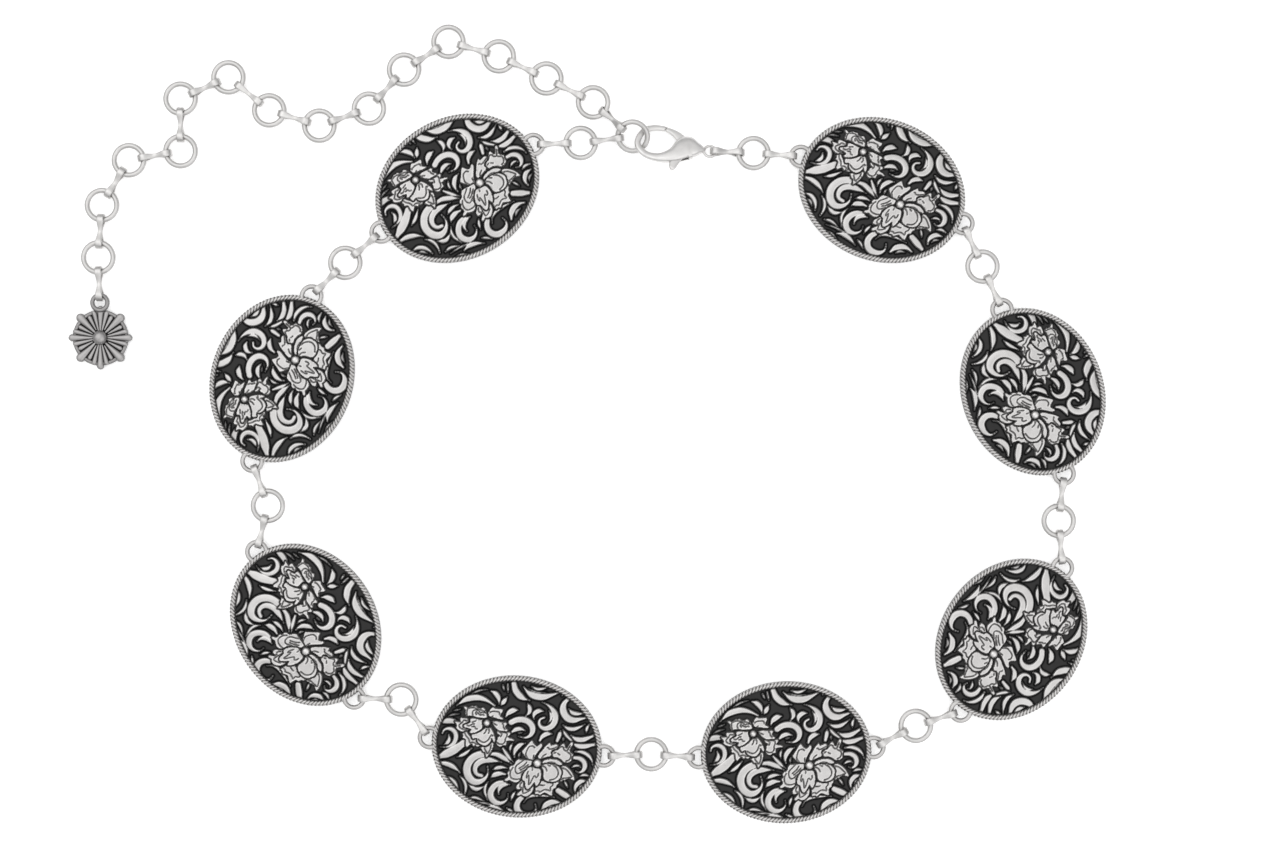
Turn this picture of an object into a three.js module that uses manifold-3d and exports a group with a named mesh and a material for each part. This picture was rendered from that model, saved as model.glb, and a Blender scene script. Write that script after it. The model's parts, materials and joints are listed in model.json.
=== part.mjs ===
// Concho belt of silver-toned metal, fastened and lying flat on a surface at z = 0.
// Eight oval cast conchos are joined by round rings and figure-eight links. A hook clasp with a sprung lever
// holds the end ring, and an extension chain with a rosette charm hangs from that ring.
// Millimetres, +Z up. The origin is the middle of the belt's outline, on the surface.

import * as THREE from "three";
import { mergeVertices } from "three/addons/utils/BufferGeometryUtils.js";
import Module from "manifold-3d";

const wasm = await Module();
wasm.setup();

// Concho casting
const conchoLength = 60;
const conchoWidth = 49.8;
const ropeWidth = 2;
const ropeHeight = 3.6;
const skirtWall = 1.6;
const fieldEdgeHeight = 2.6;
const fieldRise = 1.6;
const fieldThickness = 1.5;
const reliefHeight = 0.7;
const reliefRoot = 0.5;
const conchoSides = 20;

// Loops cast onto the ends of each concho
const loopRadius = 3.4;
const loopWire = 1.7;
const loopOverhang = 0.8;

// Round rings
const ringRadius = 5.2;
const ringWire = 1.9;

// Figure-eight links: a flat band on edge, pinched at the waist
const linkSpan = 8;
const bandWidth = 2.2;
const bandThickness = 0.8;
const wireClearance = 0.5;
const waistGap = 0.4;
const linkLift = 0.3;

// Extension chain, whose links grip its rings as one body
const chainGrip = 0.5;

// Hook clasp
const claspLength = 26.6;
const claspThickness = 4.2;
const claspEdge = 0.8;
const bowThickness = 1.7;
const bowWire = 2.3;
const bowTipWire = 1.9;
const bowTipSlant = 2.2;
const bowEdge = 0.45;
const tailRadius = 2.1;
const tailWire = 1;
const claspRoll = 20;
const claspHeight = 3.15;
const slotWidth = 2.2;
const leverThickness = 1.6;
const rivetRadius = 1;
const rivetClearance = 0.3;
const tipGap = 0.3;

// End ring in the clasp's bow
const endRingDrop = 1;
const endRingTilt = 20;
const endRingRaise = 0.25;

// Rosette charm
const charmDiscRadius = 9.9;
const charmRayRadius = 11.2;
const charmDiscThickness = 1.7;
const charmRayHeight = 1.1;
const charmRayWidth = 2.4;
const charmBeadRadius = 2.55;
const charmLoopRadius = 2.65;
const charmLoopWire = 1.6;
const charmReach = 12.3;

// Corners of a wire's section, steps round the rings and cast loops, and steps along the longest scrolls
const wireSides = 5;
const ringSteps = 10;
const loopSteps = 6;
const scrollSteps = 4;

const halfLength = conchoLength / 2;
const halfWidth = conchoWidth / 2;
const eyeRadius = ringWire / 2 + wireClearance;
const chainHeight = linkLift + eyeRadius + bandThickness;
const endRingHeight = claspHeight + endRingRaise;
const loopCentre = halfLength + loopOverhang;

// Route of the belt seen from above, from the end ring round to the clasp. Each row is one concho with the
// heading in degrees of the link before it, of the concho itself and of the link after it. A flipped concho
// has its ornament turned half round.
const firstLinkHeading = 187;
const lastLinkHeading = 538;
const claspHeading = 529;
const conchoRoute = [
  { into: 182, along: 211, out: 221, flipped: true },
  { into: 225, along: 252, out: 290, flipped: true },
  { into: 257, along: 305, out: 358, flipped: false },
  { into: 307, along: 354, out: 362, flipped: false },
  { into: 356, along: 363, out: 387, flipped: false },
  { into: 378, along: 413, out: 454, flipped: true },
  { into: 443, along: 469, out: 474, flipped: true },
  { into: 474, along: 517, out: 536, flipped: true },
];

// Headings in degrees of the extension chain's links, from the end ring to the charm, and of the charm
const chainRoute = [139, 153, 155, 164, 212, 228, 199, 163, 141, 204, 270, 190, 239, 266, 272];
const charmHeading = 270;

// Main scrolls of the ornament: greatest width, and a spine of [along, across] points in hundredths of the
// concho's half length and half width.
const scrolls = [
  { name: "left scroll", width: 2.2, spine: [[-37, -4], [-50, -13], [-52, -33], [-40, -44], [-31, -36], [-30, -24]] },
  { name: "lower scroll", width: 1.9, spine: [[-11, -39], [-22, -48], [-21, -66], [-8, -71], [-3, -62], [-7, -54]] },
  { name: "bottom scroll", width: 2, spine: [[11, -61], [6, -73], [12, -86], [24, -86], [30, -78], [28, -69]] },
  { name: "stem", width: 2.4, spine: [[-61, 7], [-73, -6], [-87, -17]] },
  { name: "ring scroll", width: 2, spine: [[-11, 42], [-2, 48], [10, 46], [15, 36], [11, 27], [2, 25]] },
  { name: "curl", width: 1.7, spine: [[22, 71], [34, 66], [40, 52], [35, 40], [24, 41], [23, 51], [27, 54]] },
  { name: "top crescent", width: 1.8, spine: [[-4, 91], [3, 82], [17, 79], [40, 84]] },
  { name: "right top scroll", width: 2, spine: [[51, 76], [46, 66], [51, 55], [62, 49], [75, 53]] },
];

// The two flowers of the ornament: middle and half size in the same hundredths, number of petals, and the
// place and radius in millimetres of the seed bead.
const flowers = [
  { along: -42, across: 29, halfLong: 30, halfWide: 31, petals: 5, turn: 20, bead: [-37, 40], beadRadius: 1.1 },
  { along: 31, across: -18, halfLong: 38, halfWide: 38, petals: 5, turn: 55, bead: [26, -9], beadRadius: 1.15 },
];

// Clasp outlines in hundredths of its length, from the middle of the tail ring (0) to the bow's end (-100),
// with the lever's gate on the plus side.
const bowSpine = [[-64, 19.5], [-76, 18.8], [-88, 13.5], [-94, 4], [-96, -8], [-90, -16.5], [-80, -22], [-60, -22]];
const bodyOutline = [
  [-65, -27.6], [-48, -23.6], [-29, -16.2], [-15, -7.6], [-8, -3.6], [-8, 3], [-14, 6], [-24, 11], [-34, 13.8],
  [-43.6, 5.8], [-49, -4.4], [-57, -13.4], [-65, -17.4],
];
const leverOutline = [
  [-46.6, 19.2], [-35, 13], [-27, 4], [-27, -4], [-33.8, -18], [-40, -31], [-44, -33.4], [-47, -30], [-48, -24],
  [-46, -8], [-45, 4], [-54, 13],
];
const pivotPlace = [-34.6, 0];
const slotEnds = [-49.8, -19.5];

const silverRelief = new THREE.MeshStandardMaterial({ color: 0x8f8d8c, roughness: 0.42, metalness: 0.9 });
const silverWire = new THREE.MeshStandardMaterial({ color: 0xd2d0cd, roughness: 0.32, metalness: 0.95 });
const silverCharm = new THREE.MeshStandardMaterial({ color: 0xa9a7a6, roughness: 0.36, metalness: 0.92 });

const upright = new THREE.Vector3(0, 0, 1);

function radians(degrees) {
  return THREE.MathUtils.degToRad(degrees);
}

function direction(heading) {
  return new THREE.Vector3(Math.cos(radians(heading)), Math.sin(radians(heading)), 0);
}

function toSolid(geometry) {
  const bare = geometry.clone();
  bare.deleteAttribute("normal");
  bare.deleteAttribute("uv");
  const merged = mergeVertices(bare, 1e-4);
  const mesh = new wasm.Mesh({
    numProp: 3,
    vertProperties: new Float32Array(merged.attributes.position.array),
    triVerts: new Uint32Array(merged.index.array),
  });
  return new wasm.Manifold(mesh);
}

function toGeometry(solid) {
  const mesh = solid.getMesh();
  const geometry = new THREE.BufferGeometry();
  geometry.setAttribute("position", new THREE.BufferAttribute(mesh.vertProperties, 3));
  geometry.setIndex(new THREE.BufferAttribute(mesh.triVerts, 1));
  geometry.computeVertexNormals();
  return geometry;
}

function join(geometries) {
  let solid = toSolid(geometries[0]);
  for (const geometry of geometries.slice(1)) {
    solid = solid.add(toSolid(geometry));
  }
  return solid;
}

function roundPoints(middle, radius, sides) {
  const points = [];
  for (let i = 0; i < sides; i += 1) {
    const way = direction((360 * i) / sides).multiplyScalar(radius);
    points.push(new THREE.Vector2(middle.x + way.x, middle.y + way.y));
  }
  return points;
}

// Flat outline of a ribbon round a spine, with its half width given along the way from 0 to 1
function ribbonOutline(spine, halfWidthAt, samples) {
  const curve = new THREE.SplineCurve(spine);
  const left = [];
  const right = [];
  for (let i = 0; i <= samples; i += 1) {
    const t = i / samples;
    const middle = curve.getPoint(t);
    const along = curve.getTangent(t);
    const half = halfWidthAt(t);
    left.push(new THREE.Vector2(middle.x - along.y * half, middle.y + along.x * half));
    right.unshift(new THREE.Vector2(middle.x + along.y * half, middle.y - along.x * half));
  }
  return left.concat(right);
}

// Plate of an outline, centred on z = 0, with chamfered edges where an edge is given
function plate(outline, thickness, edge, hole) {
  const shape = new THREE.Shape(outline);
  if (hole) {
    shape.holes.push(hole);
  }
  const geometry = new THREE.ExtrudeGeometry(shape, {
    depth: thickness - 2 * edge,
    bevelEnabled: edge > 0,
    bevelThickness: edge,
    bevelSize: edge,
    bevelOffset: -edge,
    bevelSegments: 1,
    steps: 1,
  });
  return geometry.translate(0, 0, edge - thickness / 2);
}

// Radius for the corners of an arc in straight steps, which run as far inside the true arc as outside it
function evenRadius(radius, step) {
  return (radius * (1 + 1 / Math.cos(radians(step / 2)))) / 2;
}

// Wire bent to an arc in the XY plane about the origin, with closed ends
function wireArc(radius, wire, startAngle, endAngle, steps) {
  const points = [];
  const step = (endAngle - startAngle) / steps;
  for (let i = 0; i <= steps; i += 1) {
    points.push(direction(startAngle + i * step).multiplyScalar(evenRadius(radius, step)));
  }
  const section = roundPoints(new THREE.Vector2(), wire / 2, wireSides);
  return new THREE.ExtrudeGeometry(new THREE.Shape(section), {
    steps: steps,
    bevelEnabled: false,
    extrudePath: new THREE.CatmullRomCurve3(points),
  });
}

// Round ring in the XY plane, whose wire has an edge inwards
function ringGeometry(radius, wire) {
  const middle = new THREE.Vector2(evenRadius(radius, 360 / ringSteps), 0);
  const section = roundPoints(middle, -wire / 2, wireSides);
  section.push(section[0].clone());
  return new THREE.LatheGeometry(section, ringSteps).rotateX(Math.PI / 2);
}

// Height of the concho's domed field above its back, at a place on it
function fieldHeight(x, y) {
  const share = Math.hypot(x / (halfLength - ropeWidth), y / (halfWidth - ropeWidth));
  return fieldEdgeHeight + fieldRise * (1 - Math.min(1, share * share));
}

// Round lathe body stretched along X to the concho's oval, with an even rim
function ovalLathe(profile) {
  const geometry = new THREE.LatheGeometry(profile, conchoSides);
  geometry.rotateX(Math.PI / 2);
  const place = geometry.attributes.position;
  const fieldRadius = halfWidth - ropeWidth;
  for (let i = 0; i < place.count; i += 1) {
    const x = place.getX(i);
    const radius = Math.hypot(x, place.getY(i));
    if (radius > 0) {
      const grow = (halfLength - halfWidth) * Math.min(1, radius / fieldRadius);
      place.setX(i, x + (grow * x) / radius);
    }
  }
  return geometry;
}

function conchoShell() {
  const fieldRadius = halfWidth - ropeWidth;
  const midRadius = fieldRadius * 0.55;
  const midRise = fieldRise * (1 - 0.55 ** 2);
  const innerRadius = halfWidth - skirtWall;
  const profile = [
    new THREE.Vector2(0, fieldEdgeHeight + fieldRise - fieldThickness),
    new THREE.Vector2(innerRadius, fieldEdgeHeight - fieldThickness),
    new THREE.Vector2(innerRadius, 0),
    new THREE.Vector2(halfWidth - 0.1 * ropeWidth, 0),
    new THREE.Vector2(halfWidth, ropeHeight - ropeWidth / 2),
    new THREE.Vector2(halfWidth - ropeWidth / 2, ropeHeight),
    new THREE.Vector2(fieldRadius, fieldEdgeHeight),
    new THREE.Vector2(midRadius, fieldEdgeHeight + midRise),
    new THREE.Vector2(0, fieldEdgeHeight + fieldRise),
  ];
  return ovalLathe(profile);
}

// Raised patch of the ornament, laid on the domed field
function reliefPatch(outline) {
  const geometry = plate(outline, 1, 0);
  const place = geometry.attributes.position;
  for (let i = 0; i < place.count; i += 1) {
    const step = place.getZ(i) > 0 ? reliefHeight : -reliefRoot;
    place.setZ(i, fieldHeight(place.getX(i), place.getY(i)) + step);
  }
  return geometry;
}

function onConcho(point) {
  return new THREE.Vector2((point[0] / 100) * halfLength, (point[1] / 100) * halfWidth);
}

function scrollPatch(scroll) {
  const swell = (t) => 0.5 * scroll.width * (0.15 + 0.85 * Math.sin(Math.PI * t));
  const steps = Math.min(scrollSteps, scroll.spine.length - 1);
  return reliefPatch(ribbonOutline(scroll.spine.map(onConcho), swell, steps));
}

function flowerPatch(flower) {
  const outline = [];
  const corners = 3 * flower.petals;
  for (let i = 0; i < corners; i += 1) {
    const angle = (360 * i) / corners + flower.turn;
    const reach = i % 3 === 0 ? 0.68 : 1;
    const way = direction(angle).multiplyScalar(reach);
    const point = [flower.along + way.x * flower.halfLong, flower.across + way.y * flower.halfWide];
    outline.push(onConcho(point));
  }
  return reliefPatch(outline);
}

function flowerBead(flower) {
  const middle = onConcho(flower.bead);
  const bead = new THREE.SphereGeometry(flower.beadRadius, 6, 3);
  bead.rotateX(Math.PI / 2);
  return bead.translate(middle.x, middle.y, fieldHeight(middle.x, middle.y) + reliefHeight);
}

function conchoGeometry() {
  const pieces = [conchoShell()];
  const loopEnd = THREE.MathUtils.radToDeg(Math.acos(-(loopOverhang + 0.75 * skirtWall) / loopRadius));
  for (const side of [0, 180]) {
    const loop = wireArc(loopRadius, loopWire, -loopEnd, loopEnd, loopSteps);
    loop.translate(loopCentre, 0, chainHeight);
    loop.rotateZ(radians(side));
    pieces.push(loop);
  }
  for (const flower of flowers) {
    pieces.push(flowerPatch(flower), flowerBead(flower));
  }
  for (const scroll of scrolls) {
    pieces.push(scrollPatch(scroll));
  }
  return toGeometry(join(pieces));
}

// Half of a figure-eight outline on the plus side: the eye's round end and its run to the waist
function eightHalf(eyeCentre, radius, waistHalf) {
  const points = [new THREE.Vector2(0, -waistHalf)];
  for (const angle of [-67.5, -22.5, 22.5, 67.5]) {
    const way = direction(angle).multiplyScalar(radius / Math.cos(Math.PI / 8));
    points.push(new THREE.Vector2(eyeCentre + way.x, way.y));
  }
  return points;
}

function eightOutline(startEye, endEye, radius, waistHalf) {
  const start = eightHalf(startEye, radius, waistHalf).map((point) => point.negate());
  return eightHalf(endEye, radius, waistHalf).concat(start);
}

// Figure-eight link along X, standing on edge, with the wires it joins a span apart. The seat is the play
// between wire and band at the start and at the end.
function linkGeometry(span, startSeat, endSeat) {
  const startEye = span / 2 + startSeat - wireClearance;
  const endEye = span / 2 + endSeat - wireClearance;
  const outer = eightOutline(startEye, endEye, eyeRadius + bandThickness, waistGap / 2 + bandThickness);
  const inner = new THREE.Path(eightOutline(startEye, endEye, eyeRadius, waistGap / 2));
  return plate(outer, bandWidth, 0, inner).rotateX(Math.PI / 2);
}

// Turn and place that carry a link from its own frame to lie between two wires, standing up a given way
function linkPlace(start, end, stand) {
  const along = end.clone().sub(start).normalize();
  const across = stand.clone().cross(along).normalize();
  const up = along.clone().cross(across);
  const place = new THREE.Matrix4().makeBasis(along, across, up);
  return place.setPosition(start.clone().add(end).multiplyScalar(0.5));
}

// Clasp in its own frame: the tail ring's middle at the origin, the bow towards -X and its flat face up
function onClasp(point) {
  return new THREE.Vector2((point[0] / 100) * claspLength, (point[1] / 100) * claspLength);
}

// The bow's outline starts at the inner corner of its tip and ends at the outer one, which leans over the gate
function bowOutline() {
  const taper = (t) => 0.5 * THREE.MathUtils.lerp(bowTipWire, bowWire, Math.min(1, 2 * t));
  const outline = ribbonOutline(bowSpine.map(onClasp), taper, 11);
  outline[0].x -= bowTipSlant / 2;
  outline[outline.length - 1].x += bowTipSlant / 2;
  return outline;
}

function claspBodyGeometry() {
  const bow = plate(bowOutline(), bowThickness, bowEdge);
  const cheeks = plate(bodyOutline.map(onClasp), claspThickness, claspEdge);
  const tail = ringGeometry(tailRadius, tailWire);
  const slotLength = ((slotEnds[1] - slotEnds[0]) / 100) * claspLength;
  const slot = new THREE.BoxGeometry(slotLength, claspLength, slotWidth);
  slot.translate((slotEnds[0] / 100) * claspLength + slotLength / 2, 0, 0);
  const rivet = new THREE.CylinderGeometry(rivetRadius, rivetRadius, claspThickness - 2 * claspEdge, 10);
  const pivot = onClasp(pivotPlace);
  rivet.rotateX(Math.PI / 2).translate(pivot.x, pivot.y, 0);
  return toGeometry(join([cheeks, tail]).subtract(toSolid(slot)).add(join([bow, rivet])));
}

function claspLeverGeometry() {
  const pivot = onClasp(pivotPlace);
  const hole = new THREE.Path(roundPoints(pivot, rivetRadius + rivetClearance, 12));
  const bow = bowOutline();
  const [inner, outer] = [bow[0], bow[bow.length - 1]];
  const seam = outer.clone().sub(inner).normalize();
  const away = new THREE.Vector2(seam.y, -seam.x).multiplyScalar(tipGap);
  const outline = [outer.clone().add(away), ...leverOutline.map(onClasp), inner.clone().add(away)];
  return plate(outline, leverThickness, 0, hole);
}

function charmGeometry() {
  const disc = new THREE.CylinderGeometry(charmDiscRadius, charmDiscRadius, charmDiscThickness, 16);
  disc.rotateX(Math.PI / 2).translate(0, 0, charmDiscThickness / 2);
  const bead = new THREE.SphereGeometry(charmBeadRadius, 10, 5);
  bead.rotateX(Math.PI / 2).scale(1, 1, 0.7).translate(0, 0, charmDiscThickness + charmRayHeight);
  const loop = ringGeometry(charmLoopRadius, charmLoopWire);
  loop.translate(-charmReach, 0, chainHeight);
  const pieces = [disc, bead, loop];
  for (let i = 0; i < 8; i += 1) {
    const ray = plate(
      [
        new THREE.Vector2(0, -0.2 * charmRayWidth),
        new THREE.Vector2(charmRayRadius - 0.4 * charmRayWidth, -0.5 * charmRayWidth),
        new THREE.Vector2(charmRayRadius, -0.25 * charmRayWidth),
        new THREE.Vector2(charmRayRadius, 0.25 * charmRayWidth),
        new THREE.Vector2(charmRayRadius - 0.4 * charmRayWidth, 0.5 * charmRayWidth),
        new THREE.Vector2(0, 0.2 * charmRayWidth),
      ],
      charmRayHeight + 0.5 * charmDiscThickness,
      0,
    );
    ray.translate(0, 0, charmDiscThickness + charmRayHeight / 2 - 0.25 * charmDiscThickness);
    pieces.push(ray.rotateZ(radians(45 * i)));
  }
  return toGeometry(join(pieces));
}

// Headings, eased by the least turns that bring the round of stretches back to its start
function closeRound(stretches) {
  const headings = stretches.map((stretch) => radians(stretch.heading));
  for (let pass = 0; pass < 12; pass += 1) {
    let [x, y, xx, xy, yy] = [0, 0, 0, 0, 0];
    stretches.forEach((stretch, i) => {
      const dx = stretch.length * Math.cos(headings[i]);
      const dy = stretch.length * Math.sin(headings[i]);
      x += dx;
      y += dy;
      xx += dy * dy;
      xy -= dx * dy;
      yy += dx * dx;
    });
    const determinant = xx * yy - xy * xy;
    const pullX = (yy * x - xy * y) / determinant;
    const pullY = (xx * y - xy * x) / determinant;
    stretches.forEach((stretch, i) => {
      const dx = stretch.length * Math.cos(headings[i]);
      const dy = stretch.length * Math.sin(headings[i]);
      headings[i] += dy * pullX - dx * pullY;
    });
  }
  return headings.map((heading) => THREE.MathUtils.radToDeg(heading));
}

const belt = new THREE.Group();

function addPiece(name, geometry, material, matrix) {
  const mesh = new THREE.Mesh(geometry, material);
  mesh.name = name;
  mesh.applyMatrix4(matrix);
  belt.add(mesh);
}

// Frame at a point, turned about Z to a heading, then rolled about its own X
function placeAt(point, heading, roll) {
  const turn = new THREE.Matrix4().makeRotationZ(radians(heading));
  turn.multiply(new THREE.Matrix4().makeRotationX(radians(roll)));
  return turn.setPosition(point);
}

const ringToRing = 2 * ringRadius + linkSpan;
const ringToLoop = ringRadius + linkSpan + loopRadius;
const ringToTail = ringRadius + linkSpan + tailRadius;
const tailToEndRing = claspLength + endRingDrop;

const stretches = [{ length: ringToRing, heading: firstLinkHeading }];
for (const row of conchoRoute) {
  stretches.push({ length: ringToLoop, heading: row.into });
  stretches.push({ length: 2 * loopCentre, heading: row.along });
  stretches.push({ length: ringToLoop, heading: row.out });
}
stretches.push({ length: ringToTail, heading: lastLinkHeading });
stretches.push({ length: tailToEndRing, heading: claspHeading });
const headings = closeRound(stretches);

const stops = [new THREE.Vector3(0, 0, chainHeight)];
stretches.forEach((stretch, i) => {
  stops.push(stops[i].clone().addScaledVector(direction(headings[i]), stretch.length));
});

const ring = ringGeometry(ringRadius, ringWire);
const link = linkGeometry(linkSpan, wireClearance, wireClearance);
const concho = conchoGeometry();

// The end ring, tilted about the clasp's line so that it threads the bow
const finalHeading = headings[headings.length - 1];
const endRingMiddle = new THREE.Vector3(0, 0, endRingHeight);
const endRingPlace = placeAt(endRingMiddle, finalHeading + 180, endRingTilt);
addPiece("end_ring", ring, silverWire, endRingPlace);

function onEndRing(heading) {
  const local = direction(heading - finalHeading - 180).multiplyScalar(ringRadius);
  return local.applyMatrix4(endRingPlace);
}

function addLink(name, start, end, stand = upright) {
  addPiece(name, link, silverWire, linkPlace(start, end, stand));
}

function normalOf(place) {
  return new THREE.Vector3().setFromMatrixColumn(place, 2);
}

const firstRingEdge = stops[1].clone().addScaledVector(direction(headings[0]), -ringRadius);
addLink("link_1", onEndRing(headings[0]), firstRingEdge, normalOf(endRingPlace).add(upright));
addPiece("ring_1", ring, silverWire, placeAt(stops[1], headings[0], 0));

conchoRoute.forEach((row, i) => {
  const number = i + 1;
  const [into, along, out] = headings.slice(3 * i + 1, 3 * i + 4);
  const [before, nearLoop, farLoop, after] = stops.slice(3 * i + 1, 3 * i + 5);
  const middle = nearLoop.clone().add(farLoop).multiplyScalar(0.5).setZ(0);
  addLink(
    `link_${2 * number}`,
    before.clone().addScaledVector(direction(into), ringRadius),
    nearLoop.clone().addScaledVector(direction(into), -loopRadius),
  );
  addPiece(`concho_${number}`, concho, silverRelief, placeAt(middle, along + (row.flipped ? 180 : 0), 0));
  addLink(
    `link_${2 * number + 1}`,
    farLoop.clone().addScaledVector(direction(out), loopRadius),
    after.clone().addScaledVector(direction(out), -ringRadius),
  );
  addPiece(`ring_${number + 1}`, ring, silverWire, placeAt(after, out, 0));
});

// The last link and the clasp, whose frame is turned half round from the direction of travel
const lastRing = stops[stops.length - 3];
const tailMiddle = stops[stops.length - 2].clone().setZ(claspHeight);
const lastHeading = headings[headings.length - 2];
const claspPlace = placeAt(tailMiddle, finalHeading + 180, -claspRoll);
addLink(
  `link_${2 * conchoRoute.length + 2}`,
  lastRing.clone().addScaledVector(direction(lastHeading), ringRadius),
  tailMiddle.clone().addScaledVector(direction(lastHeading), -tailRadius),
  normalOf(claspPlace).add(upright),
);
addPiece("clasp_body", claspBodyGeometry(), silverWire, claspPlace);
addPiece("clasp_lever", claspLeverGeometry(), silverWire, claspPlace);

// The extension chain, one body from its first link on the end ring to its last link in the charm's loop
function chainGeometry() {
  const pieces = [];
  const chainRing = ringGeometry(ringRadius, ringWire);
  const last = chainRoute.length - 1;
  let start = onEndRing(chainRoute[0]);
  let middle = new THREE.Vector3(0, 0, chainHeight);
  chainRoute.forEach((heading, i) => {
    const way = direction(heading);
    const reach = ringRadius + linkSpan + (i === last ? charmLoopRadius : ringRadius);
    const next = middle.clone().addScaledVector(way, reach);
    const end = next.clone().addScaledVector(way, i === last ? -charmLoopRadius : -ringRadius);
    const startSeat = i === 0 ? wireClearance : wireClearance - chainGrip;
    const endSeat = i === last ? wireClearance : wireClearance - chainGrip;
    const stand = i === 0 ? normalOf(endRingPlace) : upright;
    pieces.push(linkGeometry(linkSpan, startSeat, endSeat).applyMatrix4(linkPlace(start, end, stand)));
    if (i < last) {
      pieces.push(chainRing.clone().applyMatrix4(placeAt(next, heading, 0)));
      start = next.clone().addScaledVector(direction(chainRoute[i + 1]), ringRadius);
    }
    middle = next;
  });
  return { geometry: toGeometry(join(pieces)), end: middle };
}

const chain = chainGeometry();
addPiece("extension_chain", chain.geometry, silverWire, new THREE.Matrix4());
const charmMiddle = chain.end.clone().addScaledVector(direction(charmHeading), charmReach).setZ(0);
addPiece("charm", charmGeometry(), silverCharm, placeAt(charmMiddle, charmHeading, 0));

const outline = new THREE.Box3().setFromObject(belt, true);
const middle = outline.getCenter(new THREE.Vector3());
belt.position.set(-middle.x, -middle.y, -outline.min.z);

export default belt;
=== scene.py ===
"""Looks of the concho belt: antiqued floral conchos, satin rings and links, hook clasp, chain and rosette charm."""

import json
import math

import bpy
import numpy as np
from mathutils import Matrix, Vector


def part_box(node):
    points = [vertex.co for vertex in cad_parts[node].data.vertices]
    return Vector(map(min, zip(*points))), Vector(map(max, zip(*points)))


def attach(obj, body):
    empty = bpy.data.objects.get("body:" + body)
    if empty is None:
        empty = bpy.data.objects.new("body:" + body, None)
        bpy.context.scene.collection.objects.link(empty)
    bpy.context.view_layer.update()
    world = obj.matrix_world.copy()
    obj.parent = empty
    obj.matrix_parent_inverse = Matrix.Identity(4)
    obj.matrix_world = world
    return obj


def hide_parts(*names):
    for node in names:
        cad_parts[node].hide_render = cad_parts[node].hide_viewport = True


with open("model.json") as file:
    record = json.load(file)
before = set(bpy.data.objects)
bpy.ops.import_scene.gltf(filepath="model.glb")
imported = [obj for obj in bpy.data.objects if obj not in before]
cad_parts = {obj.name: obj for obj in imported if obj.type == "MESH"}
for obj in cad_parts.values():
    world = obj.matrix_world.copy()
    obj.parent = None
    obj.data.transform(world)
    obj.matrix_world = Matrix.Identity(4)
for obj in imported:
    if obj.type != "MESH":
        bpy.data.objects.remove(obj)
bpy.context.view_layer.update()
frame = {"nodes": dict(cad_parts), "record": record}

MM = 0.001

# Concho casting, in millimetres
CONCHO_HALF_LONG = 30.0
CONCHO_HALF_WIDE = 24.9
ROPE_WIDTH = 2.0
ROPE_HEIGHT = 3.6
ROPE_STRANDS = 130
STRAND_LEAN = 40
STRAND_LENGTH = 3.1
STRAND_WIDTH = 1.14
SKIRT_WALL = 1.6
FIELD_EDGE_HEIGHT = 2.4
FIELD_RISE = 1.6
FIELD_WALL = 1.2
FIELD_STEP = 0.25
SCROLL_GROWTH = 1.12
RELIEF_HEIGHT = 0.75
PETAL_HEIGHT = 0.95
VEIN_DEPTH = 0.4
VEIN_WIDTH = 0.26
LOOP_RADIUS = 3.4
LOOP_WIRE = 1.7
LOOP_CENTRE = 30.8

# Rings, links and chain
RING_RADIUS = 5.2
RING_WIRE = 1.9
LINK_SPAN = 8.0
BAND_WIDTH = 2.2
BAND_THICKNESS = 0.8
EYE_RADIUS = 1.45
WAIST_GAP = 0.4
WAIST_SHARE = 0.66
CHAIN_HEIGHT = 2.55

# Clasp
CLASP_LENGTH = 26.6
CLASP_THICKNESS = 4.2
TAIL_RADIUS = 2.1
TAIL_WIRE = 1.0
LEVER_THICKNESS = 1.6
PIVOT_ALONG = -0.346

# Charm
CHARM_RADIUS = 9.9
CHARM_RAY_RADIUS = 11.2
CHARM_BEAD_RADIUS = 2.55
CHARM_LOOP_RADIUS = 2.65
CHARM_LOOP_WIRE = 1.6
CHARM_REACH = 12.3
CHARM_DISC_HEIGHT = 1.7
CHARM_TOP = 2.8

# The charm's rays in each quarter: heading in degrees, and where it starts, ends, its half widths and height
CHARM_RAYS = [
    {"angle": 0, "start": 2.3, "reach": 11.2, "half": 1.3, "thin": 0.34, "tall": 0.95},
    {"angle": 14, "start": 2.3, "reach": 9.9, "half": 0.95, "thin": 0.3, "tall": 0.85},
    {"angle": 28, "start": 3.0, "reach": 8.7, "half": 0.85, "thin": 0.26, "tall": 0.8},
    {"angle": 45, "start": 2.3, "reach": 11.4, "half": 1.6, "thin": 0.38, "tall": 1.0},
    {"angle": 62, "start": 3.0, "reach": 8.7, "half": 0.85, "thin": 0.26, "tall": 0.8},
    {"angle": 76, "start": 2.3, "reach": 9.9, "half": 0.95, "thin": 0.3, "tall": 0.85},
]

# Camera, straight above the belt
CAMERA_HEIGHT = 0.85
FRAME_WIDTH = 0.4506
CAMERA_PLACE = (0.0187, -0.0008)

# Headings in degrees of the extension chain's links, from the end ring to the charm, and of the charm
CHAIN_ROUTE = [139, 153, 155, 164, 212, 228, 199, 163, 141, 204, 270, 190, 239, 266, 272]
CHARM_HEADING = 270

# For each concho: the heading in degrees of its ornament's right hand, and how far the ornament sits off its
# middle in millimetres
CONCHO_ROWS = [
    {"node": "concho_1", "heading": 31, "drop": 0.0},
    {"node": "concho_2", "heading": 72, "drop": 0.0},
    {"node": "concho_3", "heading": 305, "drop": 2.3},
    {"node": "concho_4", "heading": 354, "drop": 2.3},
    {"node": "concho_5", "heading": 3, "drop": 2.3},
    {"node": "concho_6", "heading": 233, "drop": 0.0},
    {"node": "concho_7", "heading": 289, "drop": 0.0},
    {"node": "concho_8", "heading": 337, "drop": 0.0},
]

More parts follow.
